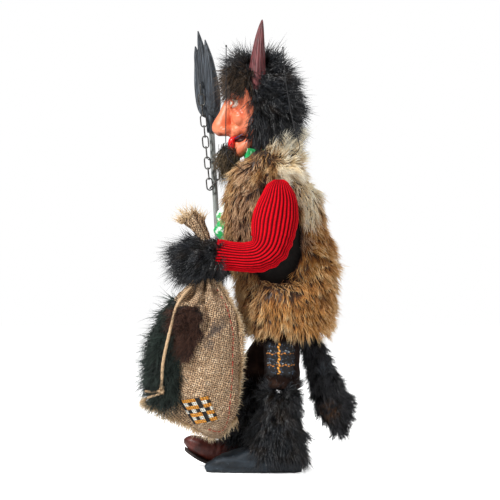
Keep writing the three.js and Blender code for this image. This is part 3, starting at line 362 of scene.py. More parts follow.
class Paint:
    """A procedural material on one Principled shader."""

    def __init__(self, name, rough, **sockets):
        self.material = bpy.data.materials.new(name)
        self.material.use_nodes = True
        self.tree = self.material.node_tree
        self.shader = self.tree.nodes["Principled BSDF"]
        self.put("Roughness", rough)
        for key, value in sockets.items():
            self.put(key.replace("_", " "), value)
        self.place = self.add("ShaderNodeTexCoord").outputs["Object"]

    def link(self, socket, value):
        if isinstance(value, bpy.types.NodeSocket):
            self.tree.links.new(value, socket)
        else:
            socket.default_value = value

    def add(self, kind, inputs=(), **settings):
        node = self.tree.nodes.new(kind)
        for key, value in settings.items():
            setattr(node, key, value)
        for key, value in dict(inputs).items():
            self.link(node.inputs[key], value)
        return node

    def put(self, name, value):
        """Sets one of the shader's own sockets."""
        self.link(self.shader.inputs[name], value)
        return self

    def stretch(self, *scale):
        return self.add("ShaderNodeMapping", {"Vector": self.place, "Scale": scale}).outputs[0]

    def flat(self):
        """The piece's own flat map in millimetres."""
        return self.add("ShaderNodeUVMap", uv_map="flat").outputs[0]

    def noise(self, size, detail, rough=0.6, source=None, warp=0.0):
        """Noise with features of about that size in millimetres."""
        given = {"Vector": source or self.place, "Scale": 1000 / size}
        given.update({"Detail": detail, "Roughness": rough, "Distortion": warp})
        return self.add("ShaderNodeTexNoise", given).outputs["Fac"]

    def work(self, operation, *values):
        """A Math node."""
        return self.add("ShaderNodeMath", dict(enumerate(values)), operation=operation).outputs[0]

    def times(self, a, b):
        return self.work("MULTIPLY", a, b)

    def plus(self, a, b):
        return self.work("ADD", a, b)

    def wave(self, value, pitch):
        """A sine that passes 0 once in each pitch."""
        return self.work("SINE", self.times(value, math.pi / pitch))

    def range(self, value, low, high, to_low=0.0, to_high=1.0):
        given = {"Value": value, "From Min": low, "From Max": high, "To Min": to_low, "To Max": to_high}
        return self.add("ShaderNodeMapRange", given, interpolation_type="SMOOTHSTEP").outputs[0]

    def split(self, vector):
        """The first two parts of a vector."""
        return self.add("ShaderNodeSeparateXYZ", {"Vector": vector}).outputs[:2]

    def mark(self, name):
        return self.add("ShaderNodeAttribute", attribute_name=name).outputs["Fac"]

    def ramp(self, value, *stops):
        node = self.add("ShaderNodeValToRGB", {"Fac": value})
        band = node.color_ramp
        while len(band.elements) < len(stops):
            band.elements.new(0.5)
        for element, (position, colour) in zip(band.elements, stops):
            element.position = position
            element.color = lin(colour)
        return node.outputs[0]

    def mix(self, share, a, b):
        a, b = (lin(c) if isinstance(c, int) else c for c in (a, b))
        return self.add("ShaderNodeMix", {0: share, 6: a, 7: b}, data_type="RGBA").outputs[2]

    def near(self, centre, low, high):
        """1 inside low millimetres of a drawn point, 0 beyond high."""
        given = {0: self.place, 1: tuple(place(centre))}
        far = self.add("ShaderNodeVectorMath", given, operation="DISTANCE").outputs["Value"]
        return self.range(far, low / 1000, high / 1000, 1.0, 0.0)

    def colour(self, value):
        return self.put("Base Color", value)

    def rough(self, noise_value, low, high):
        """Roughness from low to high as the noise rises."""
        return self.put("Roughness", self.range(noise_value, 0.3, 0.7, low, high))

    def bump(self, height, depth, strength=1.0):
        """Depth is the relief's height in millimetres."""
        given = {"Height": height, "Distance": depth / 1000, "Strength": strength}
        return self.put("Normal", self.add("ShaderNodeBump", given).outputs[0])


def mottled(name, rough, noise, relief, *stops, **sockets):
    """A paint coloured by a noise (size, detail), with relief from one (size, detail, depth, roughness)."""
    p = Paint(name, rough, **sockets)
    p.colour(p.ramp(p.noise(*noise), *stops))
    if relief:
        size, detail, depth, *grit = relief
        p.bump(p.noise(size, detail, *grit), depth)
    return p


def fur_paint(name, root, middle, tip, spread=0.25, rough=0.55, **sockets):
    """Hair that changes colour from root to tip, darker at the roots as painted shade among the hairs, with each
    hair a little lighter or darker.
    """
    p = Paint(name, rough, **sockets)
    shaded = p.plus(p.mark("along"), p.times(p.work("SUBTRACT", p.mark("tone"), 0.5), spread))
    p.base = p.ramp(shaded, (0.0, root), (0.45, middle), (1.0, tip))
    return p.colour(p.base)


def black_fur_paint():
    # The grey-blue tips are a painted sheen on the black hair, over the painted shade at its roots.
    p = fur_paint("black_fur", 0x010101, 0x050506, 0x2E3238, 1.1, 0.3, Specular_IOR_Level=0.6)
    brown_glint = p.times(p.range(p.noise(20, 3), 0.5, 0.66), 0.55)
    return p.colour(p.mix(brown_glint, p.base, 0x2C2014))


def wood_paint():
    p = Paint("bare_wood", 0.65)
    grain = p.noise(3, 5, 0.6, p.stretch(1, 1, 0.08), 0.6)
    return p.colour(p.ramp(grain, (0.3, 0x8A6440), (0.55, 0xB08A5E), (0.8, 0xC6A274))).bump(grain, 0.2)


def knit_paint():
    p = Paint("red_knit", 0.9, Specular_IOR_Level=0.12)
    stitch = p.noise(1.6, 3, 0.7)
    # Painted shade: the rib mark turns the knit near black in the grooves between ribs and darker in the elbow's
    # crook.
    knit_red_and_groove_shade = p.ramp(p.mark("rib"), (0.0, 0x180004), (0.3, 0x6A0008), (0.65, 0xB40012), (1.0, 0xDC041A))
    return p.colour(p.mix(p.range(stitch, 0.35, 0.75, 0.0, 0.45), knit_red_and_groove_shade, 0x5A0008)).bump(stitch, 0.5, 0.8)


def burlap_paint():
    """A plain weave turned a little and pulled out of line, with uneven threads, painted shade between them and
    a dark stain.
    """
    pitch, turned, pulled = 2.4, 0.3, (3.4, 3.4, 0)
    p = Paint("burlap", 0.9)
    flat = p.flat()
    given = {"Vector": flat, "Angle": turned}
    rotated = p.add("ShaderNodeVectorRotate", given, rotation_type="Z_AXIS").outputs[0]
    drift = p.add("ShaderNodeTexNoise", {"Vector": flat, "Scale": 0.25, "Detail": 1.0}).outputs["Color"]
    drift = p.add("ShaderNodeVectorMath", {0: drift, 1: pulled}, operation="MULTIPLY").outputs[0]
    warped = p.add("ShaderNodeVectorMath", {0: rotated, 1: drift}, operation="ADD").outputs[0]
    a, b = (p.wave(way, pitch) for way in p.split(warped))
    over = p.work("GREATER_THAN", p.times(a, b), 0.0)
    a, b = p.work("ABSOLUTE", a), p.work("ABSOLUTE", b)
    top = p.plus(p.times(over, a), p.times(p.work("SUBTRACT", 1.0, over), b))
    woven = p.times(top, p.work("MAXIMUM", a, b))
    slub = p.noise(3.2, 4, 0.75, p.stretch(1, 0.4, 0.8))
    thread = p.ramp(slub, (0.25, 0x94704E), (0.5, 0xD0AC86), (0.75, 0xF8DEBC))
    # Painted shade: the threads darken where they sink between their neighbours.
    thread = p.mix(p.range(woven, 0.1, 0.75, 1.0, 0.0), thread, 0x3A2618)
    stain = p.times(p.near(at(211, 330, 86), 6, 30), p.range(p.noise(16, 3), 0.4, 0.62))
    return p.colour(p.mix(p.times(stain, 0.75), thread, 0x2A2C36)).bump(woven, 1.4)


def rope_colour():
    p = Paint("rope", 0.9)
    fibre = p.noise(1.0, 3, 0.7, p.stretch(1, 1, 0.35))
    return p.colour(p.ramp(fibre, (0.25, 0x86684A), (0.5, 0xBC9C78), (0.8, 0xDCC4A2))).bump(fibre, 0.3)


black_fur = black_fur_paint()
wood = wood_paint()
knit = knit_paint()
burlap = burlap_paint()
rope_paint = rope_colour()
straw = fur_paint("burlap_thread", 0xA88862, 0xD2B48C, 0xF0DCBA, 0.5, 0.85)


# Sack
SACK_X = 60.0


def column(x, *rows):
    """Rows for a loft that all have the same x."""
    return [[x, *row] for row in rows]


def sack_line(*points):
    """Points at photo pixels on the sack's plane, or as far out of it as a third number says."""
    return [at(u, v, SACK_X + sum(out)) for u, v, *out in points]


SACK_SPAN = 10
SACK_ROWS = column(
    SACK_X, (-52, 42, 6, 7), (-54, 50, 14, 15.5), (-57, 62, 20, 24.5), (-60, 78, 23.5, 31),
    (-62, 95, 25, 34),
    (-63, 130, 26, 36), (-64, 152, 25.5, 37), (-68, 172, 24, 38), (-70, 190, 20, 35), (-70, 204, 15, 26),
    (-68, 215, 9, 15), (-66, 223, 6, 7),
)
# Each fold: how deep and wide it is, the ridge beside it, and its line of photo pixels
FOLDS = (
    (5.0, 2.3, 1.6, ((205, 274), (206, 284), (200, 290), (193, 294), (186, 299))),
    (4.0, 2.2, 1.2, ((206, 289), (204, 294), (202, 301), (197, 307))),
    (3.0, 2.6, 1.6, ((204, 302), (208, 310), (210, 318), (205, 328), (199, 338))),
)
BACK_EDGE = sack_line(
    (211, 285), (218, 292), (225, 304, 1), (232, 320, 2), (236.5, 340, 2), (236, 365, 1),
    (233, 388), (230, 407, 1),
    (222, 424),
)
HEM = sack_line(
    (150, 401, 2), (163, 412, 3), (180, 420, 3), (196, 427, 2), (212, 434), (226, 427), (237, 417),
)
FLAP_TOP = sack_line((170, 388, 6), (184, 392, 8), (200, 404, 8), (214, 412, 6), (228, 408, 6))
FLAP_LOW = sack_line((146, 401, 2), (163, 414, 4), (184, 424, 4), (206, 431, 2), (220, 429))
FRONT_CORNER = sack_line((147, 398, 2), (146, 402, 2), (156, 409, 3))
BASTING = refine([at(*pixel) for pixel in (
    (218, 288), (225, 300), (229, 310), (233.5, 330), (233.5, 345), (233, 370), (231, 395),
    (229, 412), (223, 425),
    (209, 423),
)], 10)


def sack_shape():
    """The bag's grid: gathered at its top, slack below, with creases and folds."""
    grid, out = loft(SACK_ROWS, 200, SACK_SPAN, 2.0, True)
    turn, height = turn_and_run(grid)
    gather = clip((height - 0.45) / 0.5) ** 1.5
    pleats = 3.6 * gather * (np.sin(9 * turn + 3 * height) + 0.6 * np.sin(14 * turn + 1.3))
    slack = wobble(grid, 26, 3) * 3.0 * (1 - 0.5 * gather) + wobble(grid, 9, 5) * 0.9
    crease = -5.0 * bell(turn - 6.6 + 0.9 * height, 0.15) * clip((height - 0.55) / 0.3)
    crease += 3.0 * bell(turn - 6.25 + 0.9 * height, 0.2) * clip((height - 0.5) / 0.3)
    grid = swell(grid, out, pleats + slack + crease)
    u, v = seen_at(grid.reshape(-1, 3))
    pushed = 0
    for deep, wide, ridge, line in FOLDS:
        line = refine(line, 12)
        far = np.min(np.hypot(u[:, None] - line[:, 0], v[:, None] - line[:, 1]), 1)
        push = ridge * bell(far - 2.2 * wide, 1.2 * wide) - deep * bell(far, wide)
        pushed = pushed + push.reshape(grid.shape[:2]) * (grid[..., 0] > SACK_X)
    return swell(grid, out, pushed)


sack_grid = sack_shape()
SACK_HEIGHTS = refine(SACK_ROWS, SACK_SPAN)[:, 2]


def sack_skin(y, z, out=0.0):
    """The near side of the sack over a drawn (y, z): the point out millimetres above its cloth."""
    ring = sack_grid[np.argmin(np.abs(SACK_HEIGHTS - z))]
    near = ring[ring[:, 0] > SACK_X - 0.5]
    return np.array([near[np.argmin(np.abs(near[:, 1] - y)), 0] + out, y, z])


def double_cloth(name, sheets, thick):
    """A cloth of two faces from rows of points, each face its thickness off in x."""
    off = np.multiply.outer(thick, [[1, 0, 0]])
    grid = np.concatenate([sheets + off, (sheets - off)[::-1]]).transpose(1, 0, 2)
    return grid_object(name, grid)


def seam_fin():
    """The cloth past the seam down the back edge of the bag."""
    edge = refine(BACK_EDGE[::-1], 8)
    i, t = np.arange(len(edge)), np.linspace(0, 1, 9)[:, None]
    run = unit(np.gradient(edge, axis=0))
    out = np.stack([0 * run[:, 0], run[:, 2], -run[:, 1]], 1)
    sheets = edge + out * (8 - i / (len(edge) - 1))[:, None] * t[..., None]
    sheets[..., 0] += 2.4 * t * np.sin(i * 0.23 + 1) + 0.8 * t * np.sin(i * 0.61 + 2)
    return double_cloth("sack_fin", sheets, 0.9 * (1 - 0.5 * t[:, 0]))


def front_flap():
    """The frayed flap low on the bag's front."""
    many = 60
    top, low = (refine(line, 10) for line in (FLAP_TOP, FLAP_LOW))
    top, low = (line[np.linspace(0, len(line) - 1, many).astype(int)] for line in (top, low))
    i, t = np.arange(many), np.linspace(0, 1, 12)[:, None]
    sheets = top * (1 - t[..., None]) + low * t[..., None]
    sheets[..., 0] += 1.6 * t * np.sin(i * 0.32 + 2.0) + 0.6 * t * np.sin(i * 0.9)
    return double_cloth("sack_flap", sheets, np.full(12, 0.9))


def make_sack():
    parts = [grid_object("sack_cloth", sack_grid), seam_fin(), front_flap()]
    for part in parts:
        paint_over(part, burlap)
    return dress(join("sack_cloth", parts), "sack", "burlap", None, "sack")


def fringe(name, line, way, length, count, seed, width):
    """Loose burlap threads standing out from a line of points."""
    rng = np.random.default_rng(seed)
    path = refine(line, 12)
    pick = rng.uniform(0, len(path) - 1.001, count)
    low = pick.astype(int)
    roots = path[low] + (path[low + 1] - path[low]) * (pick - low)[:, None]
    roots = roots + rng.normal(size=(count, 3)) * [1.2, 0.4, 0.4]
    ways = np.array(way) + rng.normal(size=(count, 3)) * 0.35
    sizes = rng.uniform(0.55, 1.25, count) * length, rng.uniform(0.7, 1.2, count) * width
    threads = strands(name, roots, ways, *sizes, seed, bend=(0, 0, -0.15), curl=0.25, wave=0.05)
    dress(threads, "sack", "burlap", straw)


def make_basting():
    """Basting stitches beside the seam."""
    stitches = []
    for i in range(0, len(BASTING) - 3, 3):
        a, b = BASTING[i], BASTING[i + 2]
        points = [sack_skin(p[1], p[2], out) for p, out in ((a, -0.3), ((a + b) / 2, 0.75), (b, -0.3))]
        stitches.append(tube("stitch", points, 0.35, 6, fine=3))
    thread = mottled("red_thread", 0.7, (1.5, 2), None, (0.3, 0x8A1410), (0.7, 0xC8281C))
    dress(join("sack_basting", stitches), "sack", "tongue_paint", thread)


def make_sack_mouth():
    """The gathered neck of the sack above the fist, frayed at its top."""
    rows = column(
        SACK_X, (-66, 227, 6.5, 6.5), (-66, 250, 6.5, 6.5), (-67, 270, 6.5, 6.5), (-71, 279, 8, 7.5),
        (-76, 286, 9, 9.5), (-79, 293, 10, 11),
    )
    grid, out = loft(rows, 120, 8, 2.0, True)
    a, k = turn_and_run(grid)
    grid = swell(grid, out, 1.6 * (0.3 + k) * np.sin(8 * a + 2 * k) + 0.7 * np.sin(13 * a))
    grid[..., 2] += 5 * k ** 3 * np.sin(2 * a + 1.0) + 2 * k ** 3 * np.sin(5 * a)
    inner = grid[::-1]
    mid = inner.mean(axis=1, keepdims=True)
    inner = mid + (inner - mid) * [0.8, 0.8, 1.0]
    cloth = grid_object("sack_mouth", np.concatenate([grid, inner[:30]]))
    dress(cloth, "left_forearm", "burlap", burlap, "sack_neck")
    rim, count = grid[-1], 260
    rng = np.random.default_rng(21)
    pick = rng.integers(0, len(rim), count)
    ways = (rim[pick] - rim.mean(0)) * [0.06, 0.05, 0] + [0, -0.35, 1.0] + rng.normal(size=(count, 3)) * 0.28
    sizes = rng.uniform(5, 15, count), rng.uniform(0.8, 1.4, count)
    roots = rim[pick] - [0, 0, 2]
    look = {"bend": (0, -0.1, -0.1), "curl": 0.3, "wave": 0.06}
    threads = strands("sack_mouth_threads", roots, ways, *sizes, seed=22, **look)
    dress(threads, "left_forearm", "burlap", straw)


# The rope sewn at the gathered top, hanging to a knot, by its distance in front of the sack's plane, y and z
ROPE_ROUTE = [[SACK_X + out, y, z] for out, y, z in (
    (10, -80, 214), (16, -89, 204), (19, -97, 190), (24, -101, 174), (27.5, -106, 154), (26, -111, 130),
    (22.5, -112.5, 112), (21.5, -113.5, 97),
)]


def make_rope():
    line = refine(ROPE_ROUTE, 12)
    rope = tube("sack_tie_rope", line, 1.9, 18, laid=True)
    knot = []
    for turned, tilt in ((0.0, 0.5), (1.3, -0.6)):
        ring = []
        for s in np.linspace(0, 5.8, 24):
            x = 2.0 * math.sin(tilt * 2) + 2.6 * math.cos(s + turned)
            z = 3.2 * math.sin(s) * math.sin(tilt) + 0.6 * s - 2
            ring.append(np.array(ROPE_ROUTE[-1]) + [x, 2.8 * math.sin(s + turned) * math.cos(tilt), z])
        knot.append(tube("knot", ring, 1.7, 12, laid=True))
    for end in (
        [at(163.5, 386, 81), at(158, 391, 78), at(151, 392, 75), at(145, 391, 74)],
        [at(163.5, 387, 81), at(159, 394, 80), at(153, 396, 79), at(147, 398, 79)],
    ):
        knot.append(tube("end", end, 1.5, 12, 8, laid=True))
    knot = dress(join("sack_rope_knot", knot), "sack", "rope", rope_paint)
    dress(rope, "sack", "rope", rope_paint, "sack_rope")
    path = [tuple(p) for p in place(line)]
    place(ROPE_ROUTE[0])


def woven_paint():
    """Rows of thick yarn in three colours: gold rows between rows checked in black and white, with painted shade
    between the yarns.
    """
    row_pitch, column_pitch, yarn_high, yarn_wide = 4.6, 5.6, 2.1, 2.6
    p = Paint("patch_cloth", 0.85)
    u, v = p.split(p.flat())
    relief = p.times(*(p.work("ABSOLUTE", p.wave(*way)) for way in ((v, yarn_high), (u, yarn_wide))))
    row = p.work("FLOOR", p.work("DIVIDE", v, row_pitch))
    place_in_row = p.work("FLOOR", p.work("DIVIDE", u, column_pitch))

    def every(value, count):
        return p.work("MODULO", p.plus(value, 60.0), float(count))

    shade = p.noise(2.0, 2, 0.6, p.stretch(1, 1, 1))
    orange = p.ramp(shade, (0.3, 0xC4741A), (0.55, 0xF0A030), (0.8, 0xFFCC70))
    checked = p.mix(every(p.plus(place_in_row, p.work("FLOOR", p.times(row, 0.5))), 2), 0x121014, 0xF2EEE2)
    gold = p.mix(p.work("LESS_THAN", every(place_in_row, 4), 0.5), orange, 0x161012)
    yarn = p.mix(every(row, 2), gold, checked)
    # Painted shade: the yarn goes near black where it dips between rows and columns.
    return p.colour(p.mix(p.range(relief, 0.0, 0.35, 1.0, 0.0), yarn, 0x140C0A)).bump(relief, 1.1)


def make_woven_patch():
    corners = np.array(((181, 395.5), (210, 390), (219.5, 413.5), (196, 419)))
    n, above, thick = 26, 1.0, 0.9
    cloth = np.zeros((n, n, 3))
    for i in range(n):
        for j in range(n):
            s, t = i / (n - 1), j / (n - 1)
            top, low = corners[0] * (1 - s) + corners[1] * s, corners[3] * (1 - s) + corners[2] * s
            cloth[j, i] = sack_skin(*at(*(top * (1 - t) + low * t))[1:])
    x = cloth[..., 0].copy()
    for _ in range(6):
        x[1:-1, 1:-1] = (x[:-2, 1:-1] + x[2:, 1:-1] + x[1:-1, :-2] + x[1:-1, 2:]) / 4
    cloth[..., 0] = np.maximum(x, cloth[..., 0]) + above
    lower = cloth - [thick, 0, 0]
    patch = grid_object("sack_woven_patch", np.concatenate([cloth, lower[:, ::-1]], axis=1))
    dress(patch, "sack", "check_cloth", woven_paint(), "sack_cloth_patch")


sack_cloth = make_sack()
fringe("sack_fringe_back", [p + [0, 5.5, 1.5] for p in BACK_EDGE], (0.1, 1.0, 0.25), 6.0, 1100, 11, 1.0)
fringe("sack_fringe_low", HEM, (0.1, -0.25, -1.0), 8.5, 800, 12, 1.1)
fringe("sack_fringe_front", FRONT_CORNER, (0.0, -1.0, -0.5), 8, 260, 13, 1.1)
make_basting()
make_sack_mouth()
make_rope()
make_woven_patch()


# Fur
def spot(y, mid_y, wide_y, z, mid_z, wide_z):
    """1 at a middle in two directions, and falling away."""
    return np.exp(-(((y - mid_y) / wide_y) ** 2 + ((z - mid_z) / wide_z) ** 2))


def lie(normal, way, out, *pulls):
    """Hair ways: one main way, a share of the outward way, and pulls, each a share at each root and a way."""
    lay = normal * out + np.array(way)
    for share, pull in pulls:
        lay += share[:, None] * np.array(pull)
    return lay


def undercoat(name, rows, seed, upright=True):
    """A closed dark form for hair to grow on, a little uneven."""
    grid, out = loft(rows, 48, 5, 2.0, upright)
    grid = swell(grid, out, wobble(grid, 11, seed) * 1.6)
    many = grid.shape[0] * grid.shape[1]
    return grid_object(name, grid, marks={"along": np.full(many, 0.12), "tone": np.full(many, 0.4)})


def coat(base, name, paint, body, replaced, count, length, width, seed, flow, sag, jitter, lift,
         clump=9.0, curl=0.16, wave=0.0, spread=(0.6, 1.25), locks=14, keep=None, tints=(), slot="black_fur"):
    """Hairs rooted all over a base, in locks. Flow gives the drawn way that hair lies in at points."""
    dress(base, body, slot, paint, *replaced)
    rng = np.random.default_rng(seed)
    roots, normal = skin_points(base, count, seed + 1, keep)
    n = len(roots)
    lay = flow(roots, normal) + rng.normal(size=(n, 3)) * jitter
    curls = swirl(roots, clump, seed + 40, seed + 50, seed + 60)
    ways = lay + curls * 0.9 * np.linalg.norm(lay, axis=1, keepdims=True) + normal * lift
    ways += normal * np.maximum(lift * 0.8 - (ways * normal).sum(1, keepdims=True), 0)
    size = (length(roots) if callable(length) else np.full(n, length)) * rng.uniform(*spread, n)
    tone = clip(rng.normal(0.5, 0.22, n) + 0.35 * wobble(roots, clump * 1.4, seed + 70))
    tips = roots + unit(ways) * size[:, None]
    leaders = rng.choice(n, max(n // locks, 1), replace=False)
    tree = kdtree.KDTree(len(leaders))
    for k, leader in enumerate(leaders):
        tree.insert(roots[leader], k)
    tree.balance()
    own = np.array([tree.find(p)[1] for p in roots])
    pull = (tips[leaders[own]] - tips) * (0.6 * rng.uniform(0.5, 1.1, n))[:, None]
    lock_tone = clip(rng.normal(0.5, 0.3, n))
    tone = 0.45 * tone + 0.55 * lock_tone[leaders[own]]
    widths = rng.uniform(0.7, 1.3, n) * width * 1.3
    marks = {key: value(roots) for key, value in dict(tints).items()}
    look = (0, 0, -sag), curl, wave, tone, pull, marks
    hair = strands(name + "_hair", roots - normal * 0.8, ways, size, widths, seed + 2, *look)
    dress(hair, body, slot, paint)


def vest_paint():
    """Brown fur, with three other shades where the hairs' marks say so."""
    p = Paint("vest_fur", 0.6)
    lock = p.noise(13, 3, 0.6, p.stretch(1, 1, 0.45))
    own = p.times(p.work("SUBTRACT", p.mark("tone"), 0.5), 0.5)
    shade = p.plus(p.mark("along"), p.plus(own, p.times(p.work("SUBTRACT", lock, 0.5), 0.9)))
    # Dark where the along mark is low, at the roots: painted shade between the hairs and locks.
    colour = p.ramp(shade, (0.05, 0x321C0C), (0.35, 0x8C5E34), (0.65, 0xC0925A), (1.0, 0xEACA9A))
    for mark, *stops in (
        ("gold", (0.05, 0x42240A), (0.35, 0x9E642A), (0.65, 0xD2964C), (1.0, 0xF8D8A2)),
        ("ash", (0.05, 0x3C2414), (0.35, 0x8C6444), (0.65, 0xBE946C), (1.0, 0xE4C8A4)),
        ("cream", (0.05, 0xB09062), (0.3, 0xECD2A4), (0.6, 0xFFF0D0), (1.0, 0xFFFAEA)),
    ):
        colour = p.mix(p.mark(mark), colour, p.ramp(shade, *stops))
    return p.colour(colour)


def band(seed, *line):
    """How much each root lies on a soft-edged band of the photo: points of u, v and radius in pixels."""
    line = refine(line, 8)

    def share(roots):
        u, v = seen_at(roots)
        rough = 0.45 * wobble(roots, 14, seed)
        best = np.zeros(len(u))
        for mid_u, mid_v, radius in line:
            best = np.maximum(best, 1.5 + rough - np.hypot(u - mid_u, v - mid_v) / radius)
        return clip(best * 1.6)
    return share


def inside_line(u, v, points):
    """Which pixels lie inside a closed line of pixels."""
    inside = np.zeros(len(u), bool)
    for a, b in zip(points, points[1:] + points[:1]):
        inside ^= ((a[1] > v) != (b[1] > v)) & (u < (b[0] - a[0]) * (v - a[1]) / (b[1] - a[1] + 1e-9) + a[0])
    return inside


VEST_FUR = vest_paint()
VEST_TINTS = {
    "cream": band(
        41, (268, 141, 9), (280, 142, 12), (292, 154, 13), (300, 170, 11), (306, 190, 9), (310, 215, 6),
    ),
    "ash": band(
        42, (252, 172, 11), (262, 180, 10), (246, 195, 9), (244, 228, 7), (296, 232, 6), (304, 240, 5),
    ),
    "gold": band(43, (318, 235, 15), (314, 265, 16), (300, 300, 18), (278, 306, 12), (320, 320, 12)),
}
ARMHOLE = (
    (263, 187), (255, 205), (252.5, 230), (250, 248), (252, 266), (259, 279), (276, 285),
    (291, 280), (301.5, 257),
    (301, 225), (297, 203), (290, 188), (277, 181),
)
VEST_ROWS = column(
    0, (27, 161, 56, 45), (28, 180, 57, 49), (28, 200, 56, 52), (27, 228, 45, 55), (22, 255, 40, 59),
    (13, 285, 39, 58), (11, 318, 40, 54), (6, 336, 39, 44), (6, 353, 34, 36), (12, 370, 27, 27),
    (15, 378, 22, 21),
)


def vest_kept(points):
    """Not in an armhole, above the neckline or in the front opening."""
    armhole = inside_line(*seen_at(points), ARMHOLE) & (np.abs(points[:, 0]) > 24)
    above = points[:, 2] > 346 + clip((points[:, 1] + 36) / 32) * 27
    opening = (np.abs(points[:, 0]) < 11) & (points[:, 1] < 0) & (points[:, 2] > 225)
    return ~(armhole | above | opening)


def vest_flow(roots, normal):
    """Down, but lifted at the collar, the armhole, the shoulder and the chest, and spread at the hem."""
    x, y, z = roots.T
    u, v = seen_at(roots)
    lay = lie(
        0 * normal, (0, 0, -1.0), 0,
        (np.sign(y - 15), (0, 0.12, 0)),
        (clip((z - 345) / 20) * clip((y + 2) / 24), (0.0, 0.6, 2.3)),
        (bell(v - 285, 5) * (np.abs(u - 272) < 24), (0, 0, 1.05)),
        (spot(y, 46, 14, z, 332, 16), (0.1, 0.2, 0.4)),
        (spot(y, -15, 18, z, 335, 16), (0.2, -0.5, 0.5)),
        (clip((y - 50) / 25) * clip((300 - z) / 40), (0, 0.35, 0.25)),
    )
    hem = clip((205 - z) / 45)[:, None]
    return lay + hem * np.stack([0.3 * np.sign(x), 0.5 * (y - 25) / 40, 0.1 + 0 * y], 1)


def vest_length(roots):
    y, z = roots[:, 1], roots[:, 2]
    crest = spot(y, 20, 12, z, 372, 9) * (wobble(roots, 9, 44) > -0.05)
    return 15.0 + 5 * clip((z - 350) / 20) * clip(y / 30) + 18 * crest


def make_vest():
    """A shell of pelt with big armholes, cream at the collar and shoulder."""
    grid, out = loft(VEST_ROWS, 180, 8, 2.3, True)
    grid = swell(grid, out, wobble(grid, 16, 31) * 2.2)
    base = shell("vest_pelt", grid, out, 3.5, vest_kept, {"along": (0.08, -0.6), "tone": (0.4, 0.4)})
    for side, word, count, replaced in ((1, "left", 30000, ("vest",)), (-1, "right", 24000, ())):
        def outer(points, normal):
            y = points[:, 1] - 18
            outward = (normal[:, 0] * points[:, 0] / 40 ** 2 + normal[:, 1] * y / 55 ** 2) > 0
            return outward & ((points[:, 0] > 0) == (side > 0))

        coat(
            base, "vest_" + word, VEST_FUR, "torso", replaced, count=count, length=vest_length, width=0.85,
            seed=300 + side, flow=vest_flow, sag=0.2, jitter=0.16, lift=0.36, clump=12.0, curl=0.12, wave=0.05,
            locks=16, keep=outer, tints=VEST_TINTS, slot="brown_fur",
        )


def tuft(name, roots, ways, lengths, hairs, seed, wide, cream):
    """Long locks of vest fur, each of so many hairs round one root."""
    rng = np.random.default_rng(seed)
    n = len(roots) * hairs
    own = np.repeat(np.arange(len(roots)), hairs)
    start = roots[own] + rng.normal(size=(n, 3)) * wide
    ways = unit(ways)
    size = lengths[own] * rng.uniform(0.55, 1.1, n)
    lay = ways[own] + rng.normal(size=(n, 3)) * 0.12
    tips = start + unit(lay) * size[:, None]
    goal = roots + ways * lengths[:, None]
    pull = (goal[own] - tips) * rng.uniform(0.2, 0.75, n)[:, None]
    tone = clip(0.5 * rng.uniform(0, 1, len(roots))[own] + 0.5 * rng.uniform(0, 1, n) + 0.1)
    widths = rng.uniform(0.7, 1.2, n) * 0.9
    look = (0, 0.05, -0.12), 0.12, 0.04, tone, pull, {"cream": cream[own]}
    dress(strands(name, start, lay, size, widths, seed, *look), "torso", "brown_fur", VEST_FUR)


def make_tufts():
    """Pale locks that stand up from the pelt's collar, and locks over the shoulders, pale at the back."""
    rng = np.random.default_rng(47)
    n = 46
    turn = rng.uniform(-0.1, math.pi + 0.1, n)
    height = 364 + 10 * np.sin(turn) + rng.normal(size=n) * 3
    roots = np.stack([24 * np.cos(turn), 13 + 22 * np.sin(turn), height], 1)
    ways = np.stack([0.3 * np.cos(turn), 0.25 + 0.3 * np.sin(turn), 0.95 + 0 * turn], 1)
    ways = ways + rng.normal(size=(n, 3)) * [0.15, 0.22, 0.12]
    tuft("vest_collar_tufts", roots, ways, rng.uniform(18, 33, n), 90, 48, 2.4, np.ones(n))
    n = 34
    side = rng.choice([1, -1], n)
    roots = np.stack([side * rng.uniform(33, 37, n), rng.uniform(-2, 38, n), rng.uniform(340, 352, n)], 1)
    ways = np.stack([side * 0.9, 0.03 * (roots[:, 1] - 15), -0.3 + 0 * side], 1)
    ways = ways + rng.normal(size=(n, 3)) * 0.15
    tuft("vest_shoulder_tufts", roots, ways, rng.uniform(20, 29, n), 80, 49, 2.6, 1.0 * (roots[:, 1] > 16))


def not_face(points):
    y, z = points[:, 1], points[:, 2]
    return ~(((y < -14) & (z < 436)) | ((y < -24) & (z < 444)))


def wig_flow(roots, normal):
    y, z = roots[:, 1], roots[:, 2]
    return lie(
        normal, (0, 0.75, -0.25), 0.45,
        (clip((z - 452) / 20), (0, -0.55, 1.1)),
        (clip((-y - 6) / 16) * clip((z - 430) / 10), (0, -1.2, -0.35)),
        (clip((430 - z) / 35), (0, -0.1, -1.0)),
        (clip((-y + 2) / 14) * clip((440 - z) / 12), (0, -0.75, -0.8)),
    )


def wig_length(roots):
    return 19 + 5 * clip((roots[:, 2] - 440) / 30)


def wig_outer(points, normal):
    """The cap's outer side, clear of the horns."""
    x, y, z = np.abs(points[:, 0]), points[:, 1] + 5, points[:, 2]
    horn = ((x - 24) ** 2 + (y / 1.1) ** 2 < 11 ** 2) & (z > 458)
    before = (x > 24) & (np.abs(y) < 9) & (z > 462)
    return ((normal * (points - np.array([0, 3, 432]))).sum(1) > 0) & ~horn & ~before


FRINGE_FUR = fur_paint("fringe_fur", 0x080604, 0x1E1610, 0x5C4630, 0.7, 0.4, Specular_IOR_Level=0.7)


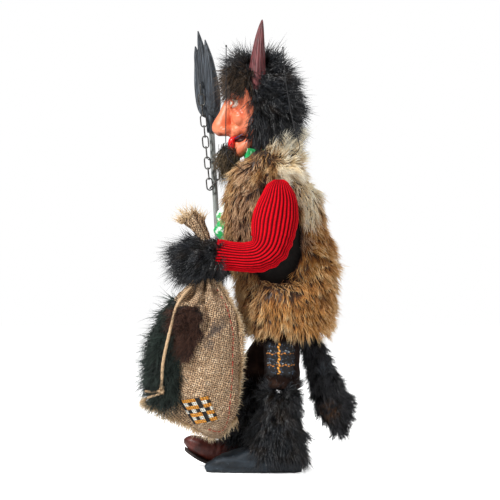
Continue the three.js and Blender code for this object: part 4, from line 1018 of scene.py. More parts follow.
def make_wig():
    """A cap of hair open at the face, and a fringe over the brow."""
    rows = column(
        0, (12, 378, 27, 19), (10, 392, 32, 26), (8, 408, 34, 31), (5, 424, 34, 33), (0, 444, 33, 33),
        (-4, 458, 29, 31), (-6, 470, 20, 24), (-6, 476, 6, 9),
    )
    grid, out = loft(rows, 96, 8, 2.0, True)
    grid = swell(grid, out, wobble(grid, 12, 61) * 1.5)
    cap = shell("hair_cap", grid, out, 3, not_face, {"along": (0.1, 0.1), "tone": (0.3, 0.3)})
    coat(
        cap, "hair_wig", black_fur, "head", ("hair",), count=17000, length=wig_length, width=0.8, seed=400,
        flow=wig_flow, sag=0.15, jitter=0.3, lift=0.2, clump=11.0, spread=(0.5, 1.35), keep=wig_outer,
    )
    rng = np.random.default_rng(71)
    n = 4200
    roots = np.stack([rng.uniform(-33, 33, n), rng.uniform(-37, -9, n), rng.uniform(445, 466, n)], 1)
    ways = np.stack([roots[:, 0] / 70, rng.uniform(-0.9, 0.05, n), rng.uniform(-1.1, 0.3, n)], 1)
    ways = ways + rng.normal(size=(n, 3)) * 0.25
    sizes = rng.uniform(9, 22, n), rng.uniform(0.6, 1.1, n)
    fringe_hair = strands("hair_fringe", roots, ways, *sizes, seed=72, bend=(0, -0.1, -0.4), curl=0.25)
    dress(fringe_hair, "head", "black_fur", FRINGE_FUR)


# The middle of each fist, as drawn x and y
FISTS = {"left": (60.0, -66.0), "right": (-88.0, -52.0)}
CUFF_ROWS = ((18, 248, 15, 15.5), (8, 248, 17, 17), (-4, 247, 16, 16), (-13, 246, 11, 11), (-18, 245, 4, 5))


def make_cuffs():
    for side, word in SIDES:
        x, y = FISTS[word]
        rows = [[x, y + far, *rest] for far, *rest in CUFF_ROWS]

        def flow(roots, normal):
            return lie(normal, (0, -1.0, -0.2), 0.12, ((roots[:, 2] - 247) / 19, (0, 0, 0.3)))

        def length(roots):
            return 16 + 14 * clip((y + 8 - roots[:, 1]) / 20)

        name = "fur_cuff_" + word
        base = undercoat(name + "_coat", rows, 500 + side, False)
        coat(
            base, name + "_coat", black_fur, word + "_forearm", (name,), count=6500, length=length, width=0.8,
            seed=500 + side, flow=flow, sag=0.25, jitter=0.2, lift=0.18, clump=11.0, wave=0.03,
        )


SHIN_X = 31.0
SHIN_ROWS = {
    "left": ((17, 24, 19, 28), (17, 34, 19, 27), (18, 50, 18, 23), (20, 70, 16.5, 19), (23, 88, 15, 16.5),
             (23, 99, 13, 14)),
    "right": ((-18, 34, 17, 20), (-17, 46, 17, 19), (-13, 62, 16, 18), (-9, 78, 16, 17), (-5, 90, 15, 16),
              (-4, 99, 13, 14)),
}


def shin_flow(roots, normal):
    return lie(normal, (0, 0, -1.0), (0.25, 0.35, 0), (clip((roots[:, 2] - 86) / 8), (0, 0, 1.5)))


def shin_length(roots):
    return 17 + 9 * clip((80 - roots[:, 2]) / 50)


def make_shins():
    for side, word in SIDES:
        name = "shin_fur_" + word
        base = undercoat(name + "_coat", column(SHIN_X * side, *SHIN_ROWS[word]), 600 + side)
        coat(
            base, name + "_coat", black_fur, word + "_shin", (name,), count=9500, length=shin_length, width=0.85,
            seed=600 + side, flow=shin_flow, sag=0.15, jitter=0.2, lift=0.28, wave=0.03,
        )


def tail_flow(roots, normal):
    return lie(normal, (0, 0.3, -0.95), 0.2, (spot(roots[:, 1], 100, 12, roots[:, 2], 80, 14), (0, 0.9, 0.9)))


def make_tail():
    """A hanging tail, with a painted highlight of grey on its upper side, and brown near its tip."""
    p = fur_paint("tail_fur", 0x030303, 0x0B0A0B, 0x34353A, 0.9, 0.4)
    colour = p.base
    # Painted highlight: the grey on the tail's upper side. The brown near the tip is its own colour.
    for pixel, low, high, size, start, c in (
        ((325, 367), 6, 15, 5, 0.4, 0x5E646C),
        ((329, 412), 5, 19, 6, 0.42, 0x5C3C1E),
    ):
        share = p.times(p.near(at(*pixel, 8), low, high), p.range(p.noise(size, 3), start, 0.6))
        colour = p.mix(p.times(share, 0.8), colour, c)
    p.colour(colour)
    rows = column(
        0, (90, 46, 2, 4), (88, 58, 6, 10), (84, 74, 8, 17), (78, 92, 9, 16), (68, 118, 9, 13),
        (60, 140, 8.5, 11),
        (52, 155, 7, 8), (47, 162, 5, 5),
    )
    coat(
        undercoat("tail_coat", rows, 700), "tail_coat", p, "tail", ("tail",), count=8000, length=15, width=0.9,
        seed=700, flow=tail_flow, sag=0.15, jitter=0.24, lift=0.3,
    )


def make_black_patch():
    """The curly black fur patch on the sack's front."""
    paint = fur_paint("patch_pelt", 0x040807, 0x0E1814, 0x36463E, 0.9, 0.6)
    rows = column(
        SACK_X, (-108, 84, 13, 14), (-111, 104, 17, 17), (-110, 130, 18, 17), (-108, 154, 16, 15),
        (-102, 178, 12, 12),
        (-95, 198, 6, 7),
    )

    def flow(roots, normal):
        return lie(normal, (0.1, -0.45, -0.75), 0.3)

    name = "sack_black_patch_coat"
    coat(
        undercoat(name, rows, 800), name, paint, "sack", ("sack_black_fur_patch",), count=7500, length=13,
        width=0.8, seed=800, flow=flow, sag=0.3, jitter=0.45, lift=0.45, clump=7.0, curl=0.5, wave=0.10,
    )


PLUSH_LINE = (
    (163, 322), (168, 312), (180, 306), (192, 307), (202, 312), (200, 322), (199, 332),
    (195, 342), (190, 354),
    (185, 357), (178, 350), (170, 338), (161, 334),
)


def make_brown_patch():
    """The brown plush patch, its hairs rooted in the sack's cloth."""
    def near_side(points, normal):
        return (points[:, 0] > SACK_X + 4) & (normal[:, 0] > 0.05)

    points, normal = skin_points(sack_cloth, 260000, 811, near_side)
    n = 7000
    ok = inside_line(*seen_at(points), PLUSH_LINE)
    roots, normal = points[ok][:n], normal[ok][:n]
    rng = np.random.default_rng(812)
    ways = normal * 0.8 + swirl(roots, 7, 813, 814, 815) * 1.1 + rng.normal(size=(n, 3)) * 0.3 + [0, 0, -0.5]
    sizes = rng.uniform(6, 11, n), rng.uniform(0.7, 1.2, n)
    look = {"bend": (0, 0, -0.2), "curl": 0.3, "wave": 0.04}
    hair = strands("sack_brown_patch_hair", roots + normal * 0.4, ways, *sizes, seed=814, **look)
    paint = fur_paint("patch_plush", 0x120704, 0x2E1810, 0x5A3828, 0.8, 0.7)
    dress(hair, "sack", "brown_fur", paint, "sack_brown_fur_patch")


make_vest()
make_tufts()
make_wig()
make_cuffs()
make_shins()
make_tail()
make_black_patch()
make_brown_patch()


# Carved pieces
def ellipsoid(centre, radii, tilt=0.0):
    """A closed ball stretched along each axis and tilted about x."""
    rows = []
    for k in range(15):
        a = math.pi * k / 14
        rows.append([0, 0, -math.cos(a), max(math.sin(a), 0.01), max(math.sin(a), 0.01)])
    grid = loft(rows, 28, 1, 2.0, True)[0] * radii
    c, s = math.cos(tilt), math.sin(tilt)
    y, z = grid[..., 1].copy(), grid[..., 2].copy()
    grid[..., 1], grid[..., 2] = c * y - s * z, s * y + c * z
    return grid_object("ball", grid + centre)


def carved(name, parts, voxel):
    """One smooth closed skin over several overlapping closed forms, and its points in drawn millimetres."""
    obj = join(name, parts)
    remesh = obj.modifiers.new("remesh", "REMESH")
    remesh.mode, remesh.voxel_size = "VOXEL", voxel / 1000
    soft = obj.modifiers.new("smooth", "SMOOTH")
    soft.factor, soft.iterations = 0.5, 5
    mesh = bpy.data.meshes.new_from_object(obj.evaluated_get(bpy.context.evaluated_depsgraph_get()))
    obj.modifiers.clear()
    obj.data = mesh
    mesh.name = name
    mesh.polygons.foreach_set("use_smooth", np.ones(len(mesh.polygons), bool))
    return obj, points_of(obj).astype(float) * 1000 - SHIFT


def move_points(obj, points):
    obj.data.vertices.foreach_set("co", place(points).astype(np.float32).ravel())
    obj.data.update()


def groove(points, depth, width, *line):
    """How deep a carved line of drawn (y, z) points cuts at each point, on the near and far sides alike."""
    far = np.full(len(points), 1e9)
    for y, z in refine(line, 10):
        far = np.minimum(far, np.hypot(points[:, 1] - y, points[:, 2] - z))
    return depth * bell(far, width)


# Head
SKULL_ROWS = column(
    0, (5, 381, 17, 14), (-2, 392, 23, 25), (-5, 404, 26, 29), (-6, 416, 27, 30), (-5, 428, 27, 31),
    (-2, 442, 28, 33), (0, 456, 26, 30), (2, 468, 18, 21), (3, 474, 8, 9),
)
NOSE_ROWS = column(
    0, (-34, 434, 5, 6), (-39, 425, 5.5, 6.5), (-42, 416, 6.5, 7.5), (-45, 408, 8.5, 9.5),
    (-47, 401, 10.5, 11),
    (-47.5, 394, 9.5, 10), (-45, 388, 5, 6),
)
EAR_ROWS = (
    (24, -14, 402, 4, 4), (27, -14.5, 408, 4.4, 5.4), (29, -15, 418, 4.2, 6.6), (31, -16, 428, 3.4, 5.4),
    (33.5, -18, 436, 2, 3), (35, -19.5, 442, 0.8, 0.9),
)
# Brow, nostril, cheek and cheekbone: the middle, the radii and the tilt of each
LUMPS = (
    ((12, -33, 437.5), (13, 5.5, 4.2), 0.2),
    ((8.5, -42, 394.5), (5.5, 7.5, 5), 0.2),
    ((14.5, -25.5, 409), (10, 9, 10), 0.0),
    ((13, -31.5, 417.5), (8, 4, 3), -0.3),
)
# Each carved line of the face: its depth, its width and its points
FACE_LINES = (
    (0.9, 1.1, (-36, 415.5), (-30, 412.5), (-25, 414)),
    (0.8, 1.0, (-29, 421), (-24, 419), (-19, 421)),
    (0.7, 1.0, (-29, 424), (-23, 424), (-18, 427)),
    (1.1, 1.4, (-39, 402), (-34, 396), (-31, 390)),
)
EAR_LINE = (1.6, 1.8, (-14.5, 410), (-15.5, 418), (-16.5, 427))


def skin_colours():
    """Painted skin, redder on the cheeks, with painted shade under the nose, in the ear hollows and round the
    eye sockets.
    """
    p = Paint("skin_paint", 0.36, Specular_IOR_Level=0.45)
    tone = p.noise(14, 3)
    streaks = p.noise(2.2, 4, 0.7, p.stretch(1, 1, 0.3))
    colour = p.ramp(tone, (0.3, 0xC05A3A), (0.5, 0xD5704C), (0.72, 0xE08A64))
    colour = p.mix(p.range(streaks, 0.5, 0.8, 0.0, 0.3), colour, 0xA8482E)
    # Rows: painted shade under the nose, the cheeks' own redder paint, painted shade in each ear's hollow and
    # round each eye socket.
    for x, y, z, low, high, share, c in (
        (0, -47, 386, 3, 13, 0.85, 0x5E1C12),
        (17, -27, 408, 2, 11, 0.35, 0xE07048),
        (30, -15, 414, 1, 4, 0.75, 0x3A120C),
        (13, -36, 426, 5, 8.5, 0.6, 0x8A3A28),
    ):
        for mid_x in (x, -x)[:2 if x else 1]:
            colour = p.mix(p.times(p.near([mid_x, y, z], low, high), share), colour, c)
    p.colour(colour).bump(p.plus(streaks, p.times(tone, 0.6)), 0.22)
    return p.rough(tone, 0.3, 0.46)


SKIN = skin_colours()


def make_face():
    """Skull, nose, brow, cheeks, lip and ears carved as one."""
    parts = [grid_object("skull", loft(SKULL_ROWS, 48, 5, 2.1, True)[0])]
    parts.append(grid_object("nose", loft(NOSE_ROWS, 32, 5, 2.0, True)[0]))
    for side, _ in SIDES:
        parts += [ellipsoid([side * x, y, z], radii, tilt) for (x, y, z), radii, tilt in LUMPS]
        parts.append(grid_object("ear", loft([[side * x, *rest] for x, *rest in EAR_ROWS], 24, 5)[0]))
    parts += [ellipsoid([0, -28, 395], [16, 11.5, 9]), ellipsoid([0, -33.5, 388.5], [12, 4.5, 3.5])]
    face, p = carved("head_face", parts, 1.15)
    x = np.abs(p[:, 0])
    cut = sum(groove(p, *line) for line in FACE_LINES) * ((x > 4) & (p[:, 1] < -18))
    ear_cut = ((x > 26) & (p[:, 1] > -19) & (p[:, 1] < -11)) * groove(p, *EAR_LINE)
    nostril = 2.4 * np.exp(-(((x - 5.5) ** 2 + (p[:, 1] + 46) ** 2) / 7)) * (p[:, 2] < 393)
    p[:, 0] -= np.sign(p[:, 0]) * (cut * 0.8 + ear_cut)
    p[:, 1] += cut * 0.5
    p[:, 2] += nostril
    socket = spot(np.abs(p[:, 0]), 13, 6.5, p[:, 2], 426, 6) * (p[:, 1] < -20)
    p[:, 1] += 3.0 * socket
    # The skull draws in under the wig's cap
    under = clip((p[:, 1] + 12) / 10) * clip((p[:, 2] - 424) / 12)
    p -= (p - np.array([0, 2, 428])) * (0.17 * under)[:, None]
    move_points(face, p)
    dress(face, "head", "skin_paint", SKIN, "head")


def make_eyes():
    """An eyeball with a painted iris, and its two lids, on each side."""
    p = Paint("eye_paint", 0.15, Coat_Weight=0.5)
    colour = p.ramp(p.noise(5, 2), (0.3, 0xD8D0BE), (0.7, 0xF0ECE0))
    for side, _ in SIDES:
        iris = [side * 13.4, -38.2, 425.4]
        colour = p.mix(p.near(iris, 2.5, 2.9), colour, 0x2E1A10)
        colour = p.mix(p.near(iris, 1.2, 1.5), colour, 0x050505)
    p.colour(colour)
    for side, word in SIDES:
        ball = ellipsoid([side * 12.5, -31.2, 425.2], [6.2, 6.4, 5.6])
        ball.name = "eye_" + word
        dress(ball, "head", "skin_paint", p)
        lids = []
        for up in (1, -1):
            ring = []
            for a in np.linspace(0.02, math.pi - 0.02, 20):
                y = -31.8 - 5.2 * max(math.sin(a), 0) ** 0.6
                z = 425.2 + up * (4.6 * math.sin(a)) + up * 0.4
                ring.append([side * (12.5 + 6.6 * math.cos(a)), y, z])
            lids.append(tube("lid", ring, 1.1, 10))
        dress(join("eyelids_" + word, lids), "head", "skin_paint", SKIN)


def make_eyebrows():
    rng = np.random.default_rng(91)
    n = 420
    side = rng.choice([1, -1], n)
    roots = np.stack([side * rng.uniform(4, 22, n), rng.uniform(-39, -34, n), rng.uniform(436, 441, n)], 1)
    ways = [side * rng.uniform(0.1, 0.7, n), rng.uniform(-0.8, -0.2, n), rng.uniform(-0.2, 0.9, n)]
    look = {"widths": 0.45, "seed": 92, "bend": (0, 0, -0.2), "curl": 0.25}
    hair = strands("eyebrows", roots, np.stack(ways, 1), rng.uniform(4, 9, n), **look)
    dress(hair, "head", "black_fur", FRINGE_FUR)


def make_mouth():
    """The jaw on its pin, the dark inside of the mouth, the painted lip lines and the tongue."""
    rows = column(
        0, (-8, 386, 15, 5), (-16, 379.5, 16, 8.5), (-24, 373.5, 14, 9), (-30, 369, 11, 8),
        (-35, 366, 6.5, 5),
    )
    parts = [grid_object("bone", loft(rows, 36, 5)[0]), ellipsoid([0, -32, 365], [7, 6, 6])]
    parts.append(ellipsoid([0, -29.5, 379.5], [10, 4, 2.4], 0.3))
    parts.append(tube("pin", [[x, -8, 388] for x in (-21, 0, 21)], 3.6, 16))
    jaw, p = carved("jaw_carved", parts, 1.1)
    p[:, 2] -= groove(p, 0.9, 1.2, (-36, 375), (-30, 373.5), (-25, 376))
    move_points(jaw, p)
    dress(jaw, "jaw", "skin_paint", SKIN, "jaw")
    mouth = ellipsoid([0, -23, 383], [13, 9, 5.5])
    mouth.name = "mouth_inside"
    paint = mottled("mouth_inside", 0.5, (4, 3), None, (0.3, 0x240806), (0.7, 0x4A120E))
    dress(mouth, "head", "skin_paint", paint)
    lines = []
    for side, _ in SIDES:
        pixels = ((235, 139, 11.5), (239, 137, 14.6), (243.5, 134.5, 16.4))
        points = [at(u, v) + [side * x, 0, 0] for u, v, x in pixels]
        lines.append(tube("line", points, 0.9, 10, 6, taper=True))
    paint = mottled("lip_line", 0.35, (3, 2), None, (0.3, 0x1A1A3A), (0.7, 0x2C2A52))
    dress(join("lip_lines", lines), "head", "skin_paint", paint)
    rows = (
        (4, -27, 386, 5, 2.0), (5, -31.5, 386, 5.6, 2.6), (6, -34.8, 383, 5.6, 3.6),
        (6.5, -35.4, 379, 5.2, 4.0),
        (6.5, -35.8, 374, 4.6, 3.6), (6.5, -36.3, 370, 2.6, 2.4), (6.5, -36.5, 368.2, 0.6, 0.6),
    )
    reds = (0.3, 0xC00A0E), (0.6, 0xE81216), (0.8, 0xF42A22)
    paint = mottled("tongue_paint", 0.3, (4, 3), (1.5, 3, 0.15), *reds, Coat_Weight=0.3)
    dress(grid_object("tongue_carved", loft(rows, 28, 6)[0]), "jaw", "tongue_paint", paint, "tongue")


def make_beard():
    """A tuft under the chin with long wisps at its end."""
    rng = np.random.default_rng(95)
    n = 3600
    roots = np.array([1, -38, 366]) + rng.normal(size=(n, 3)) * [6.0, 4.2, 5.0]
    ways = np.stack([rng.normal(size=n) * 0.3, rng.uniform(-0.65, 0.15, n), rng.uniform(-1.1, -0.1, n)], 1)
    sizes = rng.uniform(8, 17, n), rng.uniform(0.6, 1.1, n)
    main = strands("beard_tuft", roots, ways, *sizes, seed=96, bend=(0, 0.1, -0.35), curl=0.25, wave=0.05)
    n = 120
    roots = np.array([0, -42, 359]) + rng.normal(size=(n, 3)) * [2.5, 2.2, 3.5]
    ways = np.stack([rng.normal(size=n) * 0.08, rng.uniform(-0.3, -0.02, n), -np.ones(n)], 1)
    look = {"widths": 0.6, "seed": 97, "bend": (0, 0, -0.1), "curl": 0.12, "wave": 0.04}
    wisp = strands("wisp", roots, ways, rng.uniform(16, 32, n), **look)
    paint = fur_paint("beard_fur", 0x0E0A06, 0x2A2116, 0x6A5638, 0.7, 0.45)
    dress(join("beard_hair", [main, wisp]), "jaw", "black_fur", paint, "beard")


def make_horns():
    """Two straight horns with carved furrows."""
    horn_x = 24
    p = Paint("horn_paint", 0.42)
    fibre = p.noise(1.4, 4, 0.65, p.stretch(1, 1, 0.06))
    p.colour(p.ramp(fibre, (0.3, 0x260A0C), (0.5, 0x541B1E), (0.72, 0x864244))).bump(fibre, 0.45)
    p.rough(fibre, 0.42, 0.6)
    rows = column(
        0, (-6.5, 440, 9.0, 9.4), (-6, 450, 9.8, 10.2), (-5.5, 460, 9.6, 10.0), (-5, 470, 8.6, 9.0),
        (-4, 484, 7.0, 7.4), (-2.8, 498, 5.0, 5.4), (-1.4, 510, 3.0, 3.3), (-0.4, 517, 1.5, 1.7),
        (0.2, 521, 0.4, 0.5),
    )
    grid, out = loft(rows, 72, 8, 2.0, True)
    turn, run = turn_and_run(grid)
    for side, word in SIDES:
        furrow = 0.28 * np.sin(15 * turn + 2.4 * run + side) * np.sin(math.pi * run) ** 0.5
        horn = swell(grid, out, furrow + 0.18 * np.sin(7 * turn - 3 * run)) + [side * horn_x, 0, 0]
        dress(grid_object("horn_carved_" + word, horn), "head", "horn_paint", p, "horn_" + word)


make_face()
make_eyes()
make_eyebrows()
make_mouth()
make_beard()
make_horns()


# Sleeves of ribbed knit, shaped with the elbow bent
def make_sleeve(side, word):
    ribs, shoulder_x = 32, 63.0
    x = shoulder_x * side
    end_x, end_y = FISTS[word]
    ex = end_x - x
    rows = [
        [x * 0.97, 19, 335, 5, 5],
        [x * 0.98, 19, 331, 11, 10.5],
        *column(x, (18.5, 324, 16, 15.5), (18, 312, 18.5, 21), (16, 298, 19.3, 24.8), (14, 286, 19.5, 25.4)),
        *column(x, (12, 272, 19.5, 24.3), (7.5, 259, 18.8, 22.5)),
        [x + ex * 0.08, -3, 249.5, 17.8, 19],
        [x + ex * 0.3, -17, 247, 16.5, 16.6],
        [x + ex * 0.6, end_y + 33, 248, 15.5, 15.8],
        [x + ex * 0.82, end_y + 19, 249.5, 16, 17],
        [x + ex * 0.88, end_y + 14, 250, 16.2, 17.6],
    ]
    grid, out = loft(rows, ribs * 8, 12)
    turn, run = turn_and_run(grid)
    wavy = ribs * turn + 0.25 * np.sin(6 * run + side)
    rib = (0.5 + 0.5 * np.cos(wavy)) ** 0.7
    far = np.cumsum(np.concatenate([[0], np.linalg.norm(np.diff(grid.mean(1), axis=0), axis=1)]))[:, None]
    loops = 0.16 * np.sin(far * FULL / 2.6 + 3.1 * np.floor(wavy / FULL))
    # Painted shade: the rib mark darkens by a quarter inside the elbow's crook.
    elbow_crook_shade = bell(far - 78, 12) * bell((turn + math.pi / 2) % FULL - math.pi, 1.1)
    pucker = 0.9 * np.sin(far * 0.75) * bell(far - 80, 22) * clip(np.cos(turn + (math.pi / 2)))
    edge = clip((far[-1] - far) / 4) ** 0.5
    grid = swell(grid, out, (rib * (1.5 + loops) - 0.8) * edge + pucker + wobble(grid, 22, 7 + side) * 0.8)
    sleeve = grid_object("sleeve_" + word, grid, marks={"rib": (rib * (1 - 0.25 * elbow_crook_shade)).ravel()})
    dress(sleeve, None, "red_knit", knit, "upper_sleeve_" + word, "lower_sleeve_" + word)
    start, end = (tuple(place(point)) for point in ([x, 14, 268], [x, -12, 247]))
    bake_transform(sleeve)


# Chain and trident
FIST_X, FIST_Y = FISTS["right"]
LEAN, TINE_THICK = -0.0556, 15.0
STAPLE_Z, STAPLE_R = 458.0, 3.0
# A link's length, width and wire, and the wire's thickness as it is made
LINK, WIDE, WIRE, BULK = 15.8, 8.2, 1.3, 1.6


def pole_y(z):
    """Where the leaning pole is at a height."""
    return FIST_Y + (z - 250.0) * LEAN


STAPLE_Y = pole_y(STAPLE_Z) + 4 - TINE_THICK / 2 - 0.7 * STAPLE_R


def steel_colours():
    p = Paint("chain_steel", 0.42, Metallic=0.85)
    grime = p.noise(5, 4)
    p.colour(p.ramp(grime, (0.3, 0x2A2724), (0.5, 0x54524F), (0.75, 0x8A8784)))
    return p.rough(grime, 0.6, 0.32).bump(p.noise(1.2, 3), 0.06)


STEEL = steel_colours()


def chain_spans():
    """The ends of each link: ten that hang from the staple, and three that rise to the ring on the pole."""
    pitch = LINK - 2 * WIRE - 0.4
    down = [np.array([FIST_X + 9.5, STAPLE_Y - 5, STAPLE_Z - STAPLE_R + 1.0])]
    for _ in range(10):
        dx, dy = -0.1, (-62.2 - STAPLE_Y + 5) / 10
        down.append(down[-1] + [dx, dy, -math.sqrt(pitch ** 2 - dx ** 2 - dy ** 2)])
    up = [down[-1] + [0, 0.4, WIRE + 0.4]]
    for lean in (38, -5, -5):
        a = math.radians(lean)
        up.append(up[-1] + [0, pitch * math.sin(a), pitch * math.cos(a)])
    return list(zip(down, down[1:])) + list(zip(up, up[1:]))


def link_grid(a, b, spun):
    """The rings of one closed link of wire between two points."""
    up = a - b if a[2] > b[2] else b - a
    lean = Vector((0, 0, 1)).rotation_difference(Vector(up / np.linalg.norm(up)))
    spin = Matrix.Rotation(spun, 3, "Z")
    half, r = (LINK - WIDE) / 2, (WIDE - WIRE) / 2
    rings = []
    for end in (1, -1):
        for c in (math.pi * k / 12 for k in range(13)):
            row = []
            for d in (FULL * j / 12 for j in range(12)):
                reach = r + BULK / 2 * math.cos(d)
                z = end * math.sin(c) * reach + end * half
                point = Vector((end * math.cos(c) * reach, -BULK / 2 * math.sin(d), z))
                row.append(tuple(lean @ (spin @ point)))
            rings.append(row)
    return np.array(rings + [rings[0]]) + (a + b) / 2


def make_chain():
    for i, (a, b) in enumerate(chain_spans()):
        node = "chain_link_%02d" % (i + 1)
        grid = link_grid(a, b, math.pi / 2 if i % 2 else 0.0)
        dress(grid_object(node + "_bent", grid, False), "chain", "steel", STEEL, node)


def tine(side, seed, tip, belly):
    """One carved tine from the photo pixels of its tip and its widest place."""
    tip, belly = at(*tip, FIST_X + 23 * side), at(*belly, FIST_X + 24 * side)
    root = np.array([FIST_X + side * 3, pole_y(418) + side * 0.8, 417])
    low = root * 0.45 + belly * 0.55 + [side * 4, side * 1.5, -9]
    high = belly * 0.45 + tip * 0.55 + [side * 1.5, 1.0, 0]
    near_tip = high * 0.45 + tip * 0.55
    rows = [[*root, 3.4, 4.0], [*low, 5.2, 7.6], [*belly, 5.8, 8.4], [*high, 4.2, 5.4], [*near_tip, 2.6, 3.2]]
    grid, out = loft(rows + [[*tip, 0.4, 0.5]], 72, 12, 1.7)
    turn, run = turn_and_run(grid)
    furrow = 0.45 * np.sin(8 * turn + 0.7 * np.sin(5 * run + seed)) * np.sin(math.pi * run) ** 0.6
    return grid_object("tine", swell(grid, out, furrow + 0.14 * np.sin(23 * turn + 6 * run)))


def make_trident():
    """The pole, and the head of three tines on a socket and a cross, with the chain's staple."""
    p = Paint("pole_grey", 0.55)
    grain = p.noise(1.3, 5, 0.7, p.stretch(1, 1, 0.05))
    p.colour(p.ramp(grain, (0.3, 0x50524F), (0.5, 0x7E827F), (0.72, 0xA9ADA8))).bump(grain, 0.3)
    rows = [[FIST_X, pole_y(z), z, 3.35, 3.35] for z in (40, 42, 120, 200, 300, 400, 412)]
    dress(grid_object("pole_turned", loft(rows, 32, 6)[0]), "trident", "pole_paint", p, "trident_pole")
    p = Paint("trident_slate", 0.5)
    grain = p.noise(1.6, 5, 0.7, p.stretch(1, 1, 0.07))
    colour = p.ramp(grain, (0.3, 0x0C0F12), (0.5, 0x272C32), (0.66, 0x454D56), (0.78, 0xA4ACB2))
    p.colour(p.mix(p.range(p.noise(7, 4, 0.65), 0.6, 0.75, 0.0, 0.3), colour, 0x70787F)).bump(grain, 0.5)
    parts = [tine(0, 1, (198, 31), (206.5, 88)), tine(1, 2, (205, 39.7), (213, 92))]
    parts.append(tine(-1, 3, (195.3, 46.3), (201.5, 88)))
    sizes = ((398, 5.4), (401, 5.9), (408, 6.0), (416, 6.4), (426, 5.0))
    rows = [[FIST_X, pole_y(z), z, r, r] for z, r in sizes]
    parts.append(grid_object("socket", loft(rows, 40, 4)[0]))
    rows = [[FIST_X, pole_y(412) - 0.5, *rest] for rest in ((418, 6, 4), (426, 14, 5), (434, 20, 4))]
    parts.append(grid_object("cross", loft(rows, 40, 5, 2, True)[0]))
    ring = []
    for a in np.linspace(0, FULL, 25):
        ring.append([FIST_X + 8.5 + 2.5 * math.cos(a), STAPLE_Y - 5, STAPLE_Z + STAPLE_R * math.sin(a)])
    parts.append(tube("staple", ring, 0.8, 10))
    dress(join("trident_carved", parts), "trident", "trident_paint", p, "trident_head")


def paint_nodes():
    """The CAD nodes that show or lie under other pieces: wooden limbs, the rod and the ring."""
    paints = {node: ("bare_wood", wood) for node in ("torso_block", "neck_post")}
    paints.update({node: ("steel", STEEL) for node in ("shoulder_rod", "chain_ring")})
    for _, word in SIDES:
        paints.update({part + word: ("bare_wood", wood) for part in ("upper_arm_", "thigh_", "shin_")})
        paints["forearm_" + word] = ("skin_paint", wood)
    for node, (slot, paint) in paints.items():
        paint_over(nodes[node], paint)


# Shirt, and a dark sheet that paints the shade in the vest's armholes
def trunk_shell(name, wider, low, high, hole, bulge=0.0):
    """An open shell round the trunk, between two heights and without a hole."""
    rows = [[0, y, z, 31 + wider, d + wider] for y, z, d in (
        (17, 188, 32), (17, 214, 37), (15, 250, 45), (12, 290, 45), (10, 325, 40),
    )]
    grid, out = loft(rows + [[0, 9, 349 + wider, 25 + wider, 27 + wider]], 140, 14, 2.4, True)
    grid = swell(grid, out, wobble(grid, 20, 41))
    x, y, z = (grid[..., k] for k in range(3))
    grid[..., 1] -= bulge * (y < 0) * bell(x, 11) * bell(z - 282, 38) * (1 + 0.12 * np.sin(z * 0.3))
    return shell(name, grid, out, 1.4, lambda m: (m[:, 2] > low) & (m[:, 2] < high) & ~hole(m))


def make_shirt():
    """Green checked cloth with a collar, and over it a near black sheet inside the vest, painted shade that
    shows in the armholes.
    """
    p = Paint("green_weave", 0.85)
    colour = p.ramp(p.noise(17, 3), (0.42, 0xE9F0E6), (0.47, 0x28B868), (0.6, 0x149A4E), (0.66, 0xDDE8DE))
    dark = p.range(p.noise(7, 4, 0.65), 0.5, 0.7, 0.0, 0.35)
    p.colour(p.mix(dark, colour, 0x0A5A2C)).bump(p.noise(1.2, 3), 0.3)

    def armhole(m):
        return (((m[:, 1] - 15) / 18) ** 2 + ((m[:, 2] - 322) / 18) ** 2 < 1) & (np.abs(m[:, 0]) > 20)

    parts = [trunk_shell("shirt_body", 2.6, 190, 360, armhole, 19)]
    rows = column(0, (7, 350, 22, 25), (7.5, 358, 22.5, 27), (8, 366, 23, 29), (8, 372, 24.5, 30.5))
    grid, out = loft(rows, 120, 6, 2.0, True)
    turn, run = turn_and_run(grid)
    grid = swell(grid, out, 0.9 * np.sin(9 * turn + 2 * run) * run)
    grid[..., 2] += 6 * run * clip(np.sin(turn)) + 1.2 * run * np.sin(5 * turn)
    inner = grid - out * 2.2
    parts.append(grid_object("collar", np.concatenate([grid, inner[::-1]]), False))
    dress(join("shirt_sewn", parts), "torso", "green_cloth", p, "shirt")
    # Painted shade: a near black sheet just inside the vest, seen as the shade in its armholes.
    paint = mottled("vest_armhole_shade", 0.95, (6, 4), (2, 3, 0.4), (0.3, 0x070605), (0.7, 0x1C1612))
    dress(trunk_shell("vest_armhole_shade", 3.4, 205, 338, lambda m: m[:, 1] < -24), "torso", "brown_fur", paint)


